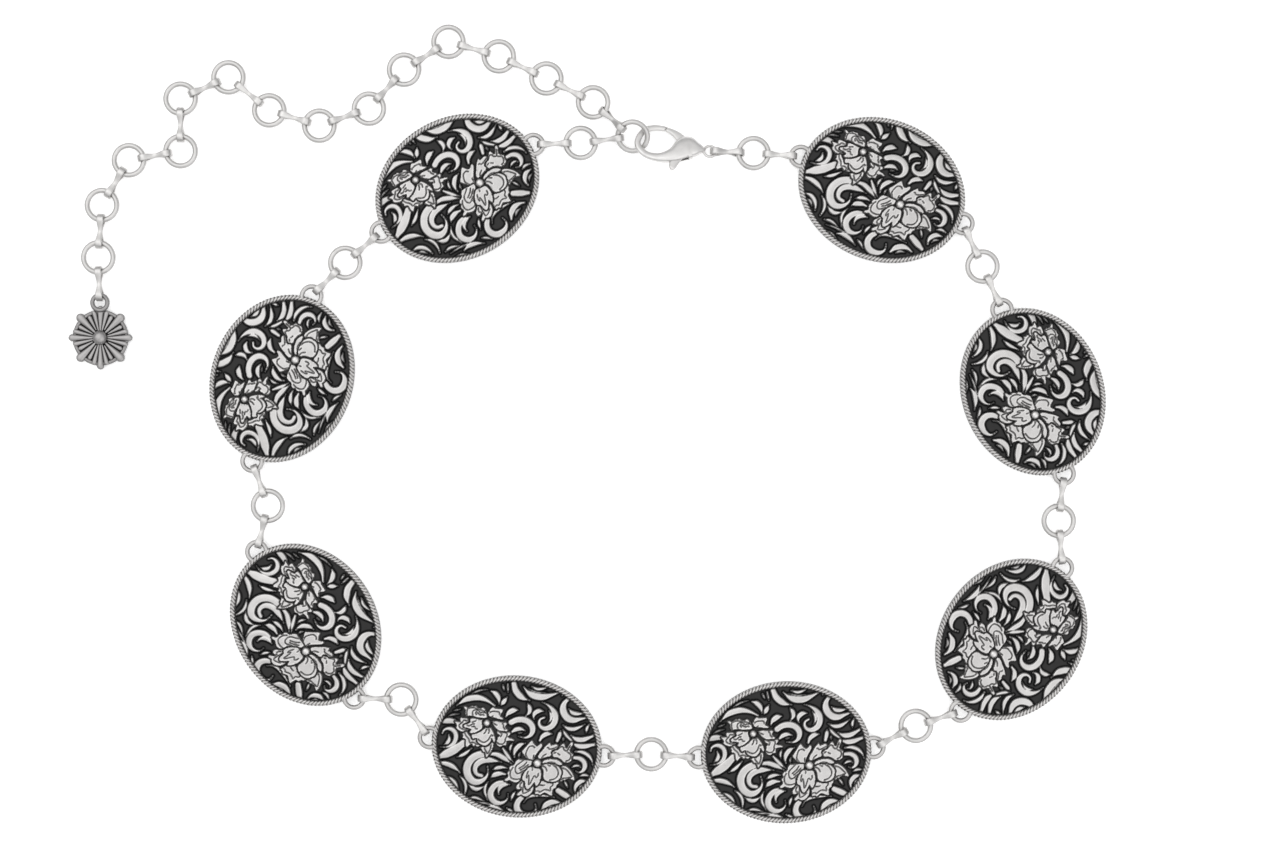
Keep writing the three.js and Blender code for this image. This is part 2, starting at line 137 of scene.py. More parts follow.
# The scrolls, charted on squares with x to the right and y down. Each row gives the greatest width in
# millimetres, the width at the start and at the end as shares of it, the height as a share of the full relief,
# and the spine.
SCROLL_CHART = {"squares": 2.184, "bead": (76.86, 57.49), "at": (0.0, 2.3)}
SCROLLS = [
    (1.9, 0.15, 0.3, 1.0, [(26.5, 33.4), (33, 27.5), (40, 25), (45, 24.9), (50, 26.2), (55.3, 28.8)]),
    (1.6, 0.3, 0.2, 1.0, [(51, 18.3), (54.5, 19.5), (57.3, 22.5), (58.5, 27)]),
    (1.4, 0.3, 0.2, 1.0, [(60.3, 27.4), (61.8, 24.5), (63.7, 21)]),
    (0.6, 0.3, 0.3, 0.6, [(36.5, 22.5), (42, 19.3), (48, 17.6)]),
    (0.6, 0.6, 0.3, 0.8, [(59, 12.5), (60.8, 16.2)]),
    (0.6, 0.6, 0.3, 0.9, [(62.6, 11), (63.8, 17.2)]),
    (0.6, 0.3, 0.3, 0.5, [(21.5, 42.5), (25, 40.6), (29.5, 39.6)]),
    (0.5, 0.3, 0.3, 0.5, [(25, 37.6), (30, 35.6)]),
    (1.8, 0.6, 0.8, 0.9, [(18.6, 47.3), (21.5, 46), (24.5, 45.6), (27, 45.8)]),
    (1.5, 0.35, 0.15, 1.0, [(19, 56), (20, 53.2), (22.8, 51.8), (26, 52), (28.7, 54), (29.8, 57.5), (29, 61.5),
                            (26, 64.8), (22.5, 66.3), (18.8, 66.8)]),
    (1.2, 0.2, 0.3, 1.0, [(21.8, 64.3), (24, 62.3), (24.9, 59.5), (24, 56.5)]),
    (2.7, 0.5, 0.8, 1.0, [(19.2, 74.5), (24.5, 71), (29.5, 67.5), (33.5, 63.6), (36, 60.8)]),
    (1.1, 0.2, 0.3, 1.0, [(33, 72.3), (38, 69), (43, 63.8)]),
    (1.6, 0.6, 0.15, 1.0, [(20.3, 78.9), (25, 78.6), (30, 79.6), (34.5, 81.8), (37.3, 83.9)]),
    (1.3, 0.4, 0.3, 1.0, [(25.5, 89.8), (29.5, 89.6), (33.5, 91.5), (36.3, 95), (37.6, 98.5)]),
    (0.8, 0.3, 0.3, 0.7, [(28.5, 93), (31.5, 94), (34, 96.5)]),
    (1.0, 0.3, 0.4, 1.0, [(37.5, 86.5), (40.5, 88.8), (42.8, 92.5), (43.4, 97), (42.9, 100.5)]),
    (2.5, 0.9, 0.12, 1.0, [(52, 66.5), (48, 68.3), (44.6, 71.2), (42.3, 75.5), (41.8, 79.5), (42.8, 83.3),
                           (45, 86.5), (48.5, 88.6), (52.2, 88.4), (55.6, 86.2), (57.8, 82.8), (58.2, 79),
                           (57.2, 75.5)]),
    (1.9, 0.1, 0.6, 1.0, [(67.5, 70.6), (62, 70.2), (56, 70.6), (51.5, 72.5), (48.8, 75.3), (48, 78.5),
                          (48.8, 81.3), (50.8, 82.9), (53.8, 83.2)]),
    (1.6, 0.7, 0.12, 1.0, [(58.5, 65.4), (63, 65.2), (67.5, 66.6), (72, 68.8), (75.5, 70.8)]),
    (1.1, 0.6, 0.1, 1.0, [(66.8, 60), (70, 63.5), (73.5, 67), (76.5, 69.2)]),
    (1.5, 0.2, 0.2, 1.0, [(83, 53.4), (79.5, 55), (76.7, 58.6), (75.9, 62.5), (76.6, 65.5)]),
    (0.8, 0.3, 0.2, 0.9, [(73.3, 55), (72.2, 58.5), (72.8, 62)]),
    (0.6, 0.3, 0.3, 0.9, [(80.2, 61), (79.7, 63), (80.2, 65.2)]),
    (1.2, 0.2, 0.3, 1.0, [(61.5, 77.3), (65, 75.2), (69, 74.2), (72, 74.4)]),
    (1.6, 0.2, 0.4, 1.0, [(61.2, 83.6), (63.5, 81), (67.5, 79.3), (71.5, 79.2)]),
    (2.0, 0.8, 0.12, 1.0, [(71.5, 85.8), (67.5, 87), (64.6, 89.8), (62.9, 93.5), (62.9, 97), (64.8, 100.2),
                           (68, 102), (71.8, 101.8), (74.8, 99.8), (76.2, 97), (75.9, 94)]),
    (1.4, 0.15, 0.3, 1.0, [(76.3, 86.6), (72, 87.3), (69.4, 89.6), (68.5, 92.6), (69, 95.2)]),
    (0.9, 0.4, 0.2, 1.0, [(81, 91.5), (79.6, 95), (79, 98.8)]),
    (0.9, 0.3, 0.3, 1.0, [(59.5, 87), (58, 91), (58.3, 95.5), (61.3, 101.3)]),
    (1.3, 0.15, 0.15, 1.0, [(45, 91.7), (48.5, 93.6), (52.3, 94), (57.5, 90.8)]),
    (0.9, 0.3, 0.3, 0.9, [(46.8, 101.9), (51, 100.9), (55, 101.4), (58.6, 102.6)]),
    (0.6, 0.3, 0.3, 0.7, [(50, 104.8), (57, 104), (64, 104.2), (70, 104.6)]),
    (1.4, 0.3, 0.15, 1.0, [(60.5, 107.4), (65, 106.1), (71, 106.9), (77, 109.6)]),
    (0.8, 0.3, 0.3, 0.9, [(76.5, 105), (80, 106.6), (83.2, 109.2)]),
    (0.8, 0.3, 0.3, 0.8, [(52, 109), (57, 109.5), (62, 111.5)]),
    (2.1, 0.8, 0.12, 1.0, [(86.5, 95.2), (84.5, 98.5), (84, 102.3), (85.4, 105.6), (88.2, 107.8), (92, 108.3),
                           (95.8, 107), (98.4, 104.4), (98.8, 101.5), (97.8, 98.6)]),
    (0.9, 0.2, 0.2, 1.0, [(89, 98.6), (91, 94.8), (95, 92.3), (101, 91.2), (107, 91), (111.5, 91.3)]),
    (1.8, 0.4, 0.3, 1.0, [(103.4, 102.5), (105.6, 98.2), (109.5, 95.3), (114, 94.6), (118.2, 95.6)]),
    (0.8, 0.4, 0.3, 0.6, [(107.5, 101.5), (110, 99), (113.5, 98.2)]),
    (2.0, 0.9, 0.6, 1.0, [(113.5, 85.5), (119, 88), (124.3, 90.3)]),
    (0.7, 0.5, 0.15, 0.9, [(117, 77.5), (118.8, 79.8), (120.5, 82.6)]),
    (1.5, 0.3, 0.3, 1.0, [(134, 75), (129.5, 76), (126.8, 79), (126, 82.3), (126.8, 85)]),
    (0.7, 0.3, 0.3, 0.6, [(133, 78.5), (130.2, 80), (129, 82.5)]),
    (0.9, 0.3, 0.4, 0.9, [(128.3, 72), (131.5, 70.6), (135.5, 71)]),
    (1.6, 0.7, 0.15, 1.0, [(121.5, 58.6), (126, 58.6), (129.6, 60.8), (130.8, 64.5), (129.6, 67.8), (126.8, 69.4),
                           (124.3, 68.6)]),
    (0.8, 0.3, 0.3, 0.9, [(121, 66.3), (123.5, 64.6), (126.3, 64.3), (127.8, 65.6)]),
    (1.2, 0.4, 0.2, 1.0, [(121.8, 53.9), (127, 53.5), (131.8, 55.2), (135.2, 58.6), (136.6, 62.3)]),
    (1.6, 0.2, 0.5, 1.0, [(116.6, 42.2), (121, 44.3), (126, 44), (130.5, 41.8), (133.8, 39.8)]),
    (1.6, 0.3, 0.6, 1.0, [(118.5, 48), (123.5, 49.3), (128.5, 48.8), (133, 47.2), (136, 46.3)]),
    (0.9, 0.3, 0.3, 1.0, [(127.8, 38.3), (127.8, 35), (129.2, 31.5)]),
    (1.3, 0.2, 0.2, 1.0, [(109.2, 35.3), (113.5, 37.2), (118, 37), (122.3, 34.8), (125.9, 32.2)]),
    (1.3, 0.2, 0.3, 1.0, [(111.8, 22.5), (114.8, 24.8), (118.5, 25.2), (123.5, 24.3)]),
    (2.3, 0.5, 0.25, 1.0, [(110, 15.2), (107.8, 18.5), (107.3, 22.5), (109, 26.7), (112.5, 29.7), (117, 30.3),
                           (121.5, 28.8), (127, 26.9)]),
    (0.6, 0.4, 0.3, 0.8, [(106, 10.4), (105, 13.5)]),
    (1.3, 0.15, 0.8, 1.0, [(108.3, 39.8), (107.8, 43.5), (106.8, 47.8)]),
    (1.0, 0.15, 0.7, 1.0, [(109.8, 38.8), (113, 42.5), (117.5, 46)]),
    (0.6, 0.5, 0.5, 0.7, [(111, 44.8), (111.4, 47)]),
    (1.9, 0.1, 0.35, 1.0, [(90.8, 20.6), (95.5, 22), (99.8, 25), (102.5, 29.2), (102.6, 33.8), (100.4, 37.8),
                           (96.5, 39.8), (93, 39.2), (91, 36.5), (91.5, 33.5), (94.2, 31.8)]),
    (0.9, 0.2, 0.2, 1.0, [(97, 26.2), (99, 29), (99.3, 32.5), (97.8, 35.8)]),
    (1.5, 0.25, 0.25, 1.0, [(92.8, 27.2), (89.5, 27.3), (86.8, 29.3), (86, 32), (86.8, 34.2)]),
    (1.4, 0.15, 0.25, 1.0, [(79.8, 23), (82, 26), (82.3, 29.5), (80.2, 32.7)]),
    (1.7, 0.25, 0.3, 1.0, [(73.2, 29.3), (69.5, 30.2), (66.5, 32.8), (65.2, 35.6)]),
    (2.0, 0.9, 0.15, 1.0, [(69.8, 39.2), (73.5, 36.8), (78, 35.8), (82.5, 36.6), (86, 39.5), (87, 43.4), (85.6, 47),
                           (82, 49.2), (77.3, 49)]),
    (1.4, 0.5, 0.2, 1.0, [(71.5, 46.5), (74.3, 44), (78, 43), (81.6, 44)]),
    (0.5, 0.3, 0.3, 0.5, [(76, 46.6), (79.5, 45.8)]),
    (1.5, 0.3, 0.5, 1.0, [(101.8, 43.2), (98, 43.8), (95, 46.3), (93.7, 49.6)]),
    (2.1, 0.8, 0.1, 1.0, [(67.2, 10), (69.2, 14.6), (72.6, 17.9), (76.5, 19.9), (81.3, 20.7)]),
    (2.1, 0.15, 0.2, 1.0, [(74.8, 11.2), (79.5, 15), (85, 16.8), (91, 16.4), (97.5, 13.8), (103, 11)]),
    (0.9, 0.4, 0.3, 1.0, [(81, 10), (85.5, 11.2), (89.8, 10.3), (93.3, 8.6)]),
    (0.5, 0.3, 0.3, 0.5, [(79, 12.3), (86, 13.7), (93, 12.8)]),
]

# The two flowers, charted on squares with x to the right and y down: how many squares are a millimetre, the bead
# in the chart and its radius in millimetres, where the bead is on the field, and each petal's outline and veins
FLOWERS = [
    {"squares": 6.36, "bead": (79, 53.5), "radius": 1.15, "at": (-11.2, 9.7), "petals": [
        ([(74, 30), (70, 24), (65, 21), (60, 23.5), (55, 24), (51, 21), (48, 19.5), (45, 22), (40, 21.5), (36, 24),
          (33, 27), (29, 26), (24, 24.5), (21, 26), (24, 30), (27, 33), (28, 36), (27, 39), (29, 43), (31, 47),
          (36, 45), (45, 44), (60, 45), (70, 44), (77, 42), (76, 36)],
         [[(33, 46), (31, 39), (31, 33), (31, 30), (35, 28), (40, 25.5), (46, 25), (52, 27), (60, 27), (68, 29),
           (74, 33)],
          [(45, 41), (43, 36), (45, 31), (50, 28.5), (56, 29.5), (61, 33), (66, 31.5), (71, 31)],
          [(53, 39), (50, 35), (52, 33.5), (57, 36), (62, 38.5), (67, 36.5), (70, 38)]]),
        ([(78, 30), (80, 25), (83, 20), (86, 17), (90, 17.5), (98, 18.5), (104, 18), (109, 18), (110, 21), (109, 25),
          (107, 29), (106, 33), (110, 35.5), (114, 38), (112, 41), (105, 41), (97, 40), (90, 40), (84, 39), (80, 36)],
         [[(82, 30), (85, 27), (90, 25.5), (96, 25), (102, 25.5), (103, 28), (104, 31.5)],
          [(81, 40), (86, 39), (90, 36)]]),
        ([(36, 51), (30, 50), (24, 50), (20, 51), (18, 55), (20, 60), (15, 60), (8, 61), (7, 63), (11, 67), (13, 70),
          (12, 74), (15, 78), (22, 81), (30, 82), (37, 78), (40, 75), (36, 73), (30, 70), (28, 66), (33, 61),
          (38, 57), (37, 53)],
         [[(34, 56), (27, 56), (25, 60), (20, 66), (18, 69), (22, 74), (30, 76), (38, 75)]]),
        ([(37, 79), (42, 85), (47, 89), (52, 95), (57, 95), (60, 91), (62, 97), (66, 102), (72, 105), (68, 109),
          (64, 109), (61, 107), (58, 110), (55, 108), (53, 105), (48, 109), (44, 114), (40, 112), (39, 105),
          (38, 98), (34, 96), (30, 95), (31, 90), (28, 87), (30, 84), (33, 82)],
         [[(34, 84), (37, 89), (43, 94), (46, 99), (48, 103), (55, 101), (62, 103), (66, 104)]]),
        ([(72, 110), (78, 107), (86, 106), (92, 101), (96, 95), (99, 93), (101, 97), (101, 106), (98, 116),
          (94, 124), (89, 130), (87, 125), (85, 119), (80, 118), (77, 114)],
         [[(82, 110), (87, 116), (91, 120), (95, 110), (96, 100)]]),
        ([(105, 66), (110, 63.5), (118, 65), (126, 65.5), (131, 65), (135, 68), (133, 73), (130, 77), (138, 78),
          (145, 81), (144, 84), (136, 84.5), (130, 86), (129, 92), (129, 96), (122, 97), (117, 101), (111, 100),
          (107, 96), (107, 88), (108, 80), (112, 76), (107, 74), (104, 70)],
         [[(110, 69), (120, 68), (127, 70), (127, 76), (125, 82), (125, 88), (121, 94), (113, 95), (108, 92)],
          [(113, 70), (116, 73), (114, 79)]]),
        ([(90, 48), (96, 46), (104, 45.5), (112, 45.5), (120, 45.5), (124, 48), (122, 52), (121, 55), (125, 59),
          (128, 62), (126, 65), (120, 66), (112, 65.5), (108, 66), (104, 64), (98, 60), (92, 53)],
         [[(91, 51), (97, 53), (102, 55)], [(113, 49), (116, 52), (117, 57), (121, 61)]]),
        ([(68, 48), (60, 48), (50, 48), (42, 49), (40, 52), (42, 57), (38, 61), (32, 64), (28, 67), (30, 71),
          (38, 72), (46, 73), (45, 77), (43, 80), (47, 82), (54, 81), (60, 77), (66, 72), (71, 66), (70, 60),
          (68, 55)],
         [[(46, 57), (50, 55), (54, 53)], [(36, 66), (42, 66), (46, 62), (52, 60)],
          [(47, 67), (53, 66), (56, 70), (60, 70)]]),
        ([(78, 64), (74, 68), (68, 74), (60, 80), (50, 84), (50, 89), (54, 94), (58, 91), (62, 91), (63, 96),
          (68, 101), (76, 104), (84, 104), (90, 99), (94, 92), (95, 85), (99, 92), (103, 93), (103, 85), (99, 76),
          (94, 68), (88, 62), (83, 64)],
         [[(80, 67), (79, 73), (76, 78)], [(85, 66), (87, 71), (86, 76)],
          [(65, 92), (72, 96), (80, 97), (87, 91), (90, 84), (93, 78), (96, 80)]]),
    ]},
    {"squares": 5.86, "bead": (69, 63.5), "radius": 1.4, "at": (7.85, -2.45), "petals": [
        ([(60, 58), (52, 59), (46, 57), (38, 50), (34, 44), (38, 37), (42, 31), (46, 24), (51, 18.5), (55, 23),
          (61, 28), (65, 27), (68, 23), (72, 21.5), (74, 25), (72, 31), (67, 40), (63, 48), (61, 54)],
         [[(49, 58), (43, 50), (43, 44), (45, 37), (48, 32), (54, 30), (59, 33)], [(59, 48), (59, 56)]]),
        ([(96, 43), (95, 38), (98, 34), (104, 29), (108, 25), (111, 19), (116, 15), (119, 18), (121, 23), (124, 23),
          (127, 16), (131, 10), (135, 11), (135, 16), (132, 23), (131, 28), (135, 32), (139, 35), (137, 41),
          (138, 46), (135, 51), (128, 54), (121, 53), (116, 49), (108, 46), (100, 46)],
         [[(105, 30), (109, 26), (113, 22), (117, 24), (119, 28), (125, 29), (130, 17)],
          [(126, 31), (129, 33), (134, 36), (134, 43), (131, 48), (126, 50)],
          [(100, 38), (103, 36)], [(107, 37), (112, 40)]]),
        ([(70, 54), (68, 50), (70, 43), (75, 35), (80, 26), (85, 20), (88, 17), (90, 21), (92, 22), (97, 20),
          (102, 19), (106, 22), (104, 28), (97, 31), (93, 37), (95, 42), (92, 46), (86, 48), (80, 51), (76, 53)],
         [[(84, 29), (86, 28), (89, 31), (95, 29), (101, 26), (104, 24)], [(76, 52), (78, 47), (84, 42)]]),
        ([(120, 60), (126, 60), (134, 64), (142, 71), (148, 80), (150, 87), (145, 87), (138, 85), (134, 87),
          (130, 90), (126, 91), (122, 95), (120, 90), (122, 82), (123, 73), (119, 65)],
         [[(121, 65), (130, 68), (138, 75), (143, 81), (137, 83), (132, 85), (127, 86), (122, 90)]]),
        ([(82, 100), (84, 97), (92, 99), (100, 100), (108, 98), (114, 95), (118, 93), (119, 98), (115, 103),
          (115, 108), (110, 111), (109, 117), (110, 124), (106, 126), (98, 123), (92, 122), (86, 127), (83, 129),
          (80, 126), (75, 128), (73, 125), (73, 114), (75, 109), (80, 105)],
         [[(76, 121), (80, 120), (83, 122), (88, 118), (93, 115), (99, 115), (104, 116), (103, 109), (107, 104),
           (107, 98)],
          [(80, 107), (86, 107), (91, 106)]]),
        ([(79, 58), (84, 54), (92, 51), (100, 49.5), (108, 50), (115, 53), (120, 57), (119, 60), (113, 61),
          (105, 61), (96, 61), (88, 60), (80, 62)],
         [[(90, 59), (97, 57), (105, 58)]]),
        ([(79, 66), (86, 62), (94, 61), (103, 61), (110, 62), (116, 66), (121, 73), (121, 82), (119, 89),
          (114, 94), (107, 97), (98, 98), (90, 96), (86, 92), (84, 84), (83, 76), (79, 71)],
         [[(101, 62), (109, 67), (114, 75), (114, 83), (109, 90), (99, 94)], [(80, 67), (87, 70), (91, 77)],
          [(90, 63), (96, 66)]]),
        ([(58, 60), (50, 60), (42, 60), (34, 60), (28, 62), (24, 68), (22, 74), (16, 77), (13, 82), (14, 87),
          (11, 93), (14, 99), (12, 103), (8, 106), (8, 110), (13, 110), (18, 107), (22, 109), (30, 110),
          (36, 108), (39, 104), (40, 97), (41, 90), (46, 82), (52, 76), (57, 70)],
         [[(40, 62), (34, 68), (28, 74), (26, 80), (27, 87), (32, 91), (38, 88), (44, 82)],
          [(47, 65), (43, 71), (37, 77), (33, 80)], [(36, 83), (42, 79), (47, 74), (51, 69)],
          [(21, 80), (18, 86), (17, 93), (19, 100), (24, 103), (32, 103), (38, 101)]]),
        ([(46, 106), (49, 107), (50, 113), (53, 119), (58, 121), (64, 116), (68, 111), (69, 118), (68, 124),
          (64, 130), (58, 135), (52, 136), (46, 133), (42, 136), (38, 136), (38, 131), (43, 126), (46, 121),
          (42, 122), (37, 124), (33, 120), (34, 115), (38, 109), (43, 104)],
         [[(43, 108), (41, 113), (41, 117), (46, 119)], [(48, 108), (48, 118), (49, 129), (56, 127), (63, 121)]]),
        ([(72, 73), (77, 75), (80, 82), (81, 90), (80, 100), (77, 108), (74, 111), (71, 108), (69, 104), (66, 109),
          (62, 116), (58, 120), (54, 119), (51, 113), (49, 105), (46, 104), (43, 101), (43, 94), (45, 87),
          (49, 80), (54, 74), (60, 72), (66, 74)],
         [[(61, 76), (61, 80)],
          [(53, 83), (51, 92), (52, 97), (55, 91), (57, 100), (58, 110), (61, 106), (64, 97), (67, 90), (71, 93),
           (74, 90), (74, 84)]]),
    ]},
]
CHART_TURN = -3.0

# The clasp's bow and body as one swept form: along and across from the middle of the tail ring, half its width
# and half its thickness there, in millimetres, with the gate on the plus side
CLASP_SWEEP = [(-16.75, 5.2, 0.95, 0.8), (-20.2, 5.0, 1.05, 0.85), (-23.4, 3.6, 1.1, 0.85), (-25.1, 1.0, 1.1, 0.85),
               (-25.5, -2.1, 1.1, 0.85), (-24.0, -4.5, 1.15, 0.9), (-21.3, -6.0, 1.25, 1.0), (-18.0, -6.2, 1.5, 1.2),
               (-15.0, -5.5, 2.0, 1.6), (-11.9, -3.8, 2.9, 2.0), (-9.6, -1.5, 4.0, 2.15), (-8.5, -0.7, 4.3, 2.15),
               (-7.5, -0.1, 4.15, 2.1), (-5.2, -0.1, 3.0, 1.9), (-3.6, 0.0, 1.9, 1.5), (-2.4, 0.0, 1.0, 1.0),
               (-1.9, 0.0, 0.7, 0.6)]
SLOT_ENDS = (-13.2, -6.8)
SLOT_WIDTH = 1.7
BOW_SLANT = 0.67

# The lever's outline in shares of the clasp's length
LEVER_OUTLINE = [(-0.60, 0.222), (-0.466, 0.192), (-0.35, 0.13), (-0.27, 0.04), (-0.27, -0.04), (-0.338, -0.18),
                 (-0.385, -0.29), (-0.41, -0.35), (-0.445, -0.376), (-0.48, -0.355), (-0.495, -0.30),
                 (-0.49, -0.22), (-0.46, -0.08), (-0.45, 0.04),
                 (-0.54, 0.13), (-0.635, 0.17)]


def deselect():
    bpy.ops.object.select_all(action="DESELECT")


def alone(obj):
    deselect()
    obj.select_set(True)
    bpy.context.view_layer.objects.active = obj


class Form:
    """Faces and their corners, with how bright each corner is: wear and patina, with painted highlights and painted
    shade
    """

    def __init__(self, points, faces, wear_and_painted_light=1.0):
        self.points = np.asarray(points, dtype=float).reshape(-1, 3)
        self.faces = faces
        self.wear_and_painted_light = np.broadcast_to(np.asarray(wear_and_painted_light, dtype=float), (len(self.points),)).copy()

    def moved(self, matrix):
        rows = np.array(matrix)
        points = self.points @ rows[:3, :3].T + rows[:3, 3]
        return Form(points, self.faces, self.wear_and_painted_light)


def taken(obj, wear_and_painted_light=1.0):
    """The mesh of a finished primitive as a form, and the primitive is gone"""
    mesh = obj.data
    points = np.empty(len(mesh.vertices) * 3)
    mesh.vertices.foreach_get("co", points)
    points = points.reshape(-1, 3)
    place = np.array(obj.matrix_basis)
    points = points @ place[:3, :3].T + place[:3, 3]
    faces = [tuple(face.vertices) for face in mesh.polygons]
    bpy.data.objects.remove(obj)
    return Form(points, faces, wear_and_painted_light)


def joined(forms):
    points, faces, wear_and_painted_light = [], [], []
    start = 0
    for form in forms:
        points.append(form.points)
        faces.extend(tuple(corner + start for corner in face) for face in form.faces)
        wear_and_painted_light.append(form.wear_and_painted_light)
        start += len(form.points)
    return Form(np.concatenate(points), faces, np.concatenate(wear_and_painted_light))


def copies(form, matrices):
    return joined([form.moved(matrix) for matrix in matrices])


def made_piece(name, form, place, finish, nodes, body="belt", smooth=60):
    """A piece from a form in millimetres, carried to its place in the belt"""
    mesh = bpy.data.meshes.new(name)
    rows = np.array(place)
    points = (form.points * MM) @ rows[:3, :3].T + rows[:3, 3]
    mesh.from_pydata(points.tolist(), [], form.faces)
    # each corner's brightness (wear and patina, with painted highlights and painted shade) goes to the material as an
    # attribute
    wear_and_painted_light = mesh.attributes.new("wear_and_painted_light", "FLOAT", "POINT")
    wear_and_painted_light.data.foreach_set("value", form.wear_and_painted_light.astype(np.float32))
    mesh.update()
    piece = bpy.data.objects.new(name, mesh)
    bpy.context.scene.collection.objects.link(piece)
    alone(piece)
    bpy.ops.object.shade_smooth_by_angle(angle=math.radians(smooth))
    piece.data.materials.append(finish)
    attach(piece, body)
    if nodes:
        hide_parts(*nodes)
    return piece


class Value:
    """A number in a material that Python's operators work on"""

    def __init__(self, finish, socket):
        self.finish = finish
        self.socket = socket

    def _math(self, operation, first, second=0.0, clamp=False):
        node = self.finish.node("ShaderNodeMath", {"operation": operation, "use_clamp": clamp}, {0: first, 1: second})
        return Value(self.finish, node.outputs[0])

    def __add__(self, other):
        return self._math("ADD", self, other)

    __radd__ = __add__

    def __sub__(self, other):
        return self._math("SUBTRACT", self, other)

    def __rsub__(self, other):
        return self._math("SUBTRACT", other, self)

    def __mul__(self, other):
        return self._math("MULTIPLY", self, other)

    __rmul__ = __mul__

    def __truediv__(self, other):
        return self._math("DIVIDE", self, other)

    def __pow__(self, other):
        return self._math("POWER", self, other)

    def clamped(self):
        return self._math("ADD", self, 0.0, clamp=True)

    def above(self, level, softness):
        """0 well under a level and 1 well over it"""
        return ((self - level) / softness + 0.5).clamped()


class Finish:
    """A material that is built node by node"""

    def __init__(self, name):
        self.material = bpy.data.materials.new(name)
        self.material.use_nodes = True
        self.tree = self.material.node_tree
        self.shader = self.tree.nodes["Principled BSDF"]

    def put(self, socket, content):
        if isinstance(content, Value):
            content = content.socket
        if isinstance(content, bpy.types.NodeSocket):
            self.tree.links.new(content, socket)
        else:
            socket.default_value = content

    def node(self, kind, settings=None, inputs=None):
        node = self.tree.nodes.new(kind)
        for key, setting in (settings or {}).items():
            setattr(node, key, setting)
        for key, content in (inputs or {}).items():
            self.put(node.inputs[key], content)
        return node

    # each corner's brightness: wear and patina, with painted highlights and painted shade
    def wear_and_painted_light(self):
        return Value(self, self.node("ShaderNodeAttribute", {"attribute_name": "wear_and_painted_light"}).outputs["Fac"])

    def place(self):
        return self.node("ShaderNodeTexCoord").outputs["Object"]

    def noise(self, scale, detail=3.0, place=None):
        inputs = {"Vector": place or self.place(), "Scale": scale, "Detail": detail}
        return Value(self, self.node("ShaderNodeTexNoise", None, inputs).outputs["Fac"])

    def colour(self, factor, dark, bright):
        node = self.node("ShaderNodeMix", {"data_type": "RGBA"})
        self.put(node.inputs[0], factor)
        self.put(node.inputs[6], dark)
        self.put(node.inputs[7], bright)
        return node.outputs[2]

    def bump(self, height, strength, distance):
        inputs = {"Height": height, "Strength": strength, "Distance": distance}
        self.put(self.shader.inputs["Normal"], self.node("ShaderNodeBump", None, inputs).outputs["Normal"])

    def set(self, **inputs):
        for name, content in inputs.items():
            self.put(self.shader.inputs[name.replace("_", " ")], content)


def satin_silver():
    """Polished plate with a satin haze, a little darker where it rubs"""
    finish = Finish("satin silver")
    cloud = finish.noise(320, 4)
    speck = finish.noise(2600, 2)
    haze = (cloud * 0.7 + speck * 0.3).above(0.5, 0.5)
    tone = finish.wear_and_painted_light() * (0.75 + haze * 0.25)
    finish.set(
        Base_Color=finish.colour(tone, (0.30, 0.295, 0.29, 1), (0.72, 0.71, 0.70, 1)),
        Metallic=1.0,
        Roughness=0.45 - haze * 0.08,
    )
    finish.bump(speck, 0.12, 0.00005)
    return finish.material


def antiqued_silver(name, bright):
    """Cast plate, bright on its raised tops where it wears and blackened in the recesses, with the painted highlights
    and painted shade that come with each corner's brightness
    """
    finish = Finish(name)
    cloud = finish.noise(420, 4)
    speck = finish.noise(3200, 2)
    wear_and_painted_light = finish.wear_and_painted_light()
    patchy = (wear_and_painted_light + (cloud - 0.5) * 0.2 * wear_and_painted_light).clamped()
    finish.set(
        Base_Color=finish.colour(patchy ** 1.2, (0.002, 0.002, 0.0023, 1), bright),
        Metallic=patchy.above(0.3, 0.3),
        Roughness=0.5 - patchy * 0.16 + speck * 0.05,
        Specular_IOR_Level=0.06,
    )
    finish.bump(speck, 0.25, 0.00006)
    return finish.material


SATIN = satin_silver()
ANTIQUED = antiqued_silver("antiqued silver", (0.65, 0.638, 0.63, 1))
CHARM_SILVER = antiqued_silver("charm silver", (0.36, 0.352, 0.35, 1))


def smoothstep(low, high, value):
    share = np.clip((value - low) / (high - low), 0, 1)
    return share * share * (3 - 2 * share)


def spline(points, step=0.12):
    """Points along a smooth curve through the given ones, and how far along each is from 0 to 1"""
    nodes = np.asarray(points, dtype=float)
    padded = np.vstack([2 * nodes[0] - nodes[1], nodes, 2 * nodes[-1] - nodes[-2]])
    rows = []
    for i in range(len(nodes) - 1):
        p0, p1, p2, p3 = padded[i:i + 4]
        count = max(2, int(np.linalg.norm(p2 - p1) / step))
        t = (np.arange(count) / count)[:, None]
        rows.append(0.5 * (2 * p1 + (p2 - p0) * t + (2 * p0 - 5 * p1 + 4 * p2 - p3) * t ** 2
                           + (3 * p1 - p0 - 3 * p2 + p3) * t ** 3))
    rows.append(nodes[-1:])
    line = np.vstack(rows)
    run = np.concatenate([[0], np.cumsum(np.linalg.norm(np.diff(line, axis=0), axis=1))])
    return line, run / run[-1]


def near(x, y, points, margin):
    """The grid places in reach of some points"""
    low = points.min(axis=0) - margin
    high = points.max(axis=0) + margin
    return np.nonzero((x > low[0]) & (x < high[0]) & (y > low[1]) & (y < high[1]))[0]


def stroke_depth(x, y, points, half_width, margin=0.8):
    """For the grid places near a stroke: how far each is inside its edge, less than 0 outside"""
    line, run = spline(points)
    half = half_width(run)
    inside = near(x, y, line, half.max() + margin)
    gap = np.hypot(x[inside, None] - line[None, :, 0], y[inside, None] - line[None, :, 1])
    return inside, (half[None, :] - gap).max(axis=1), half.max()


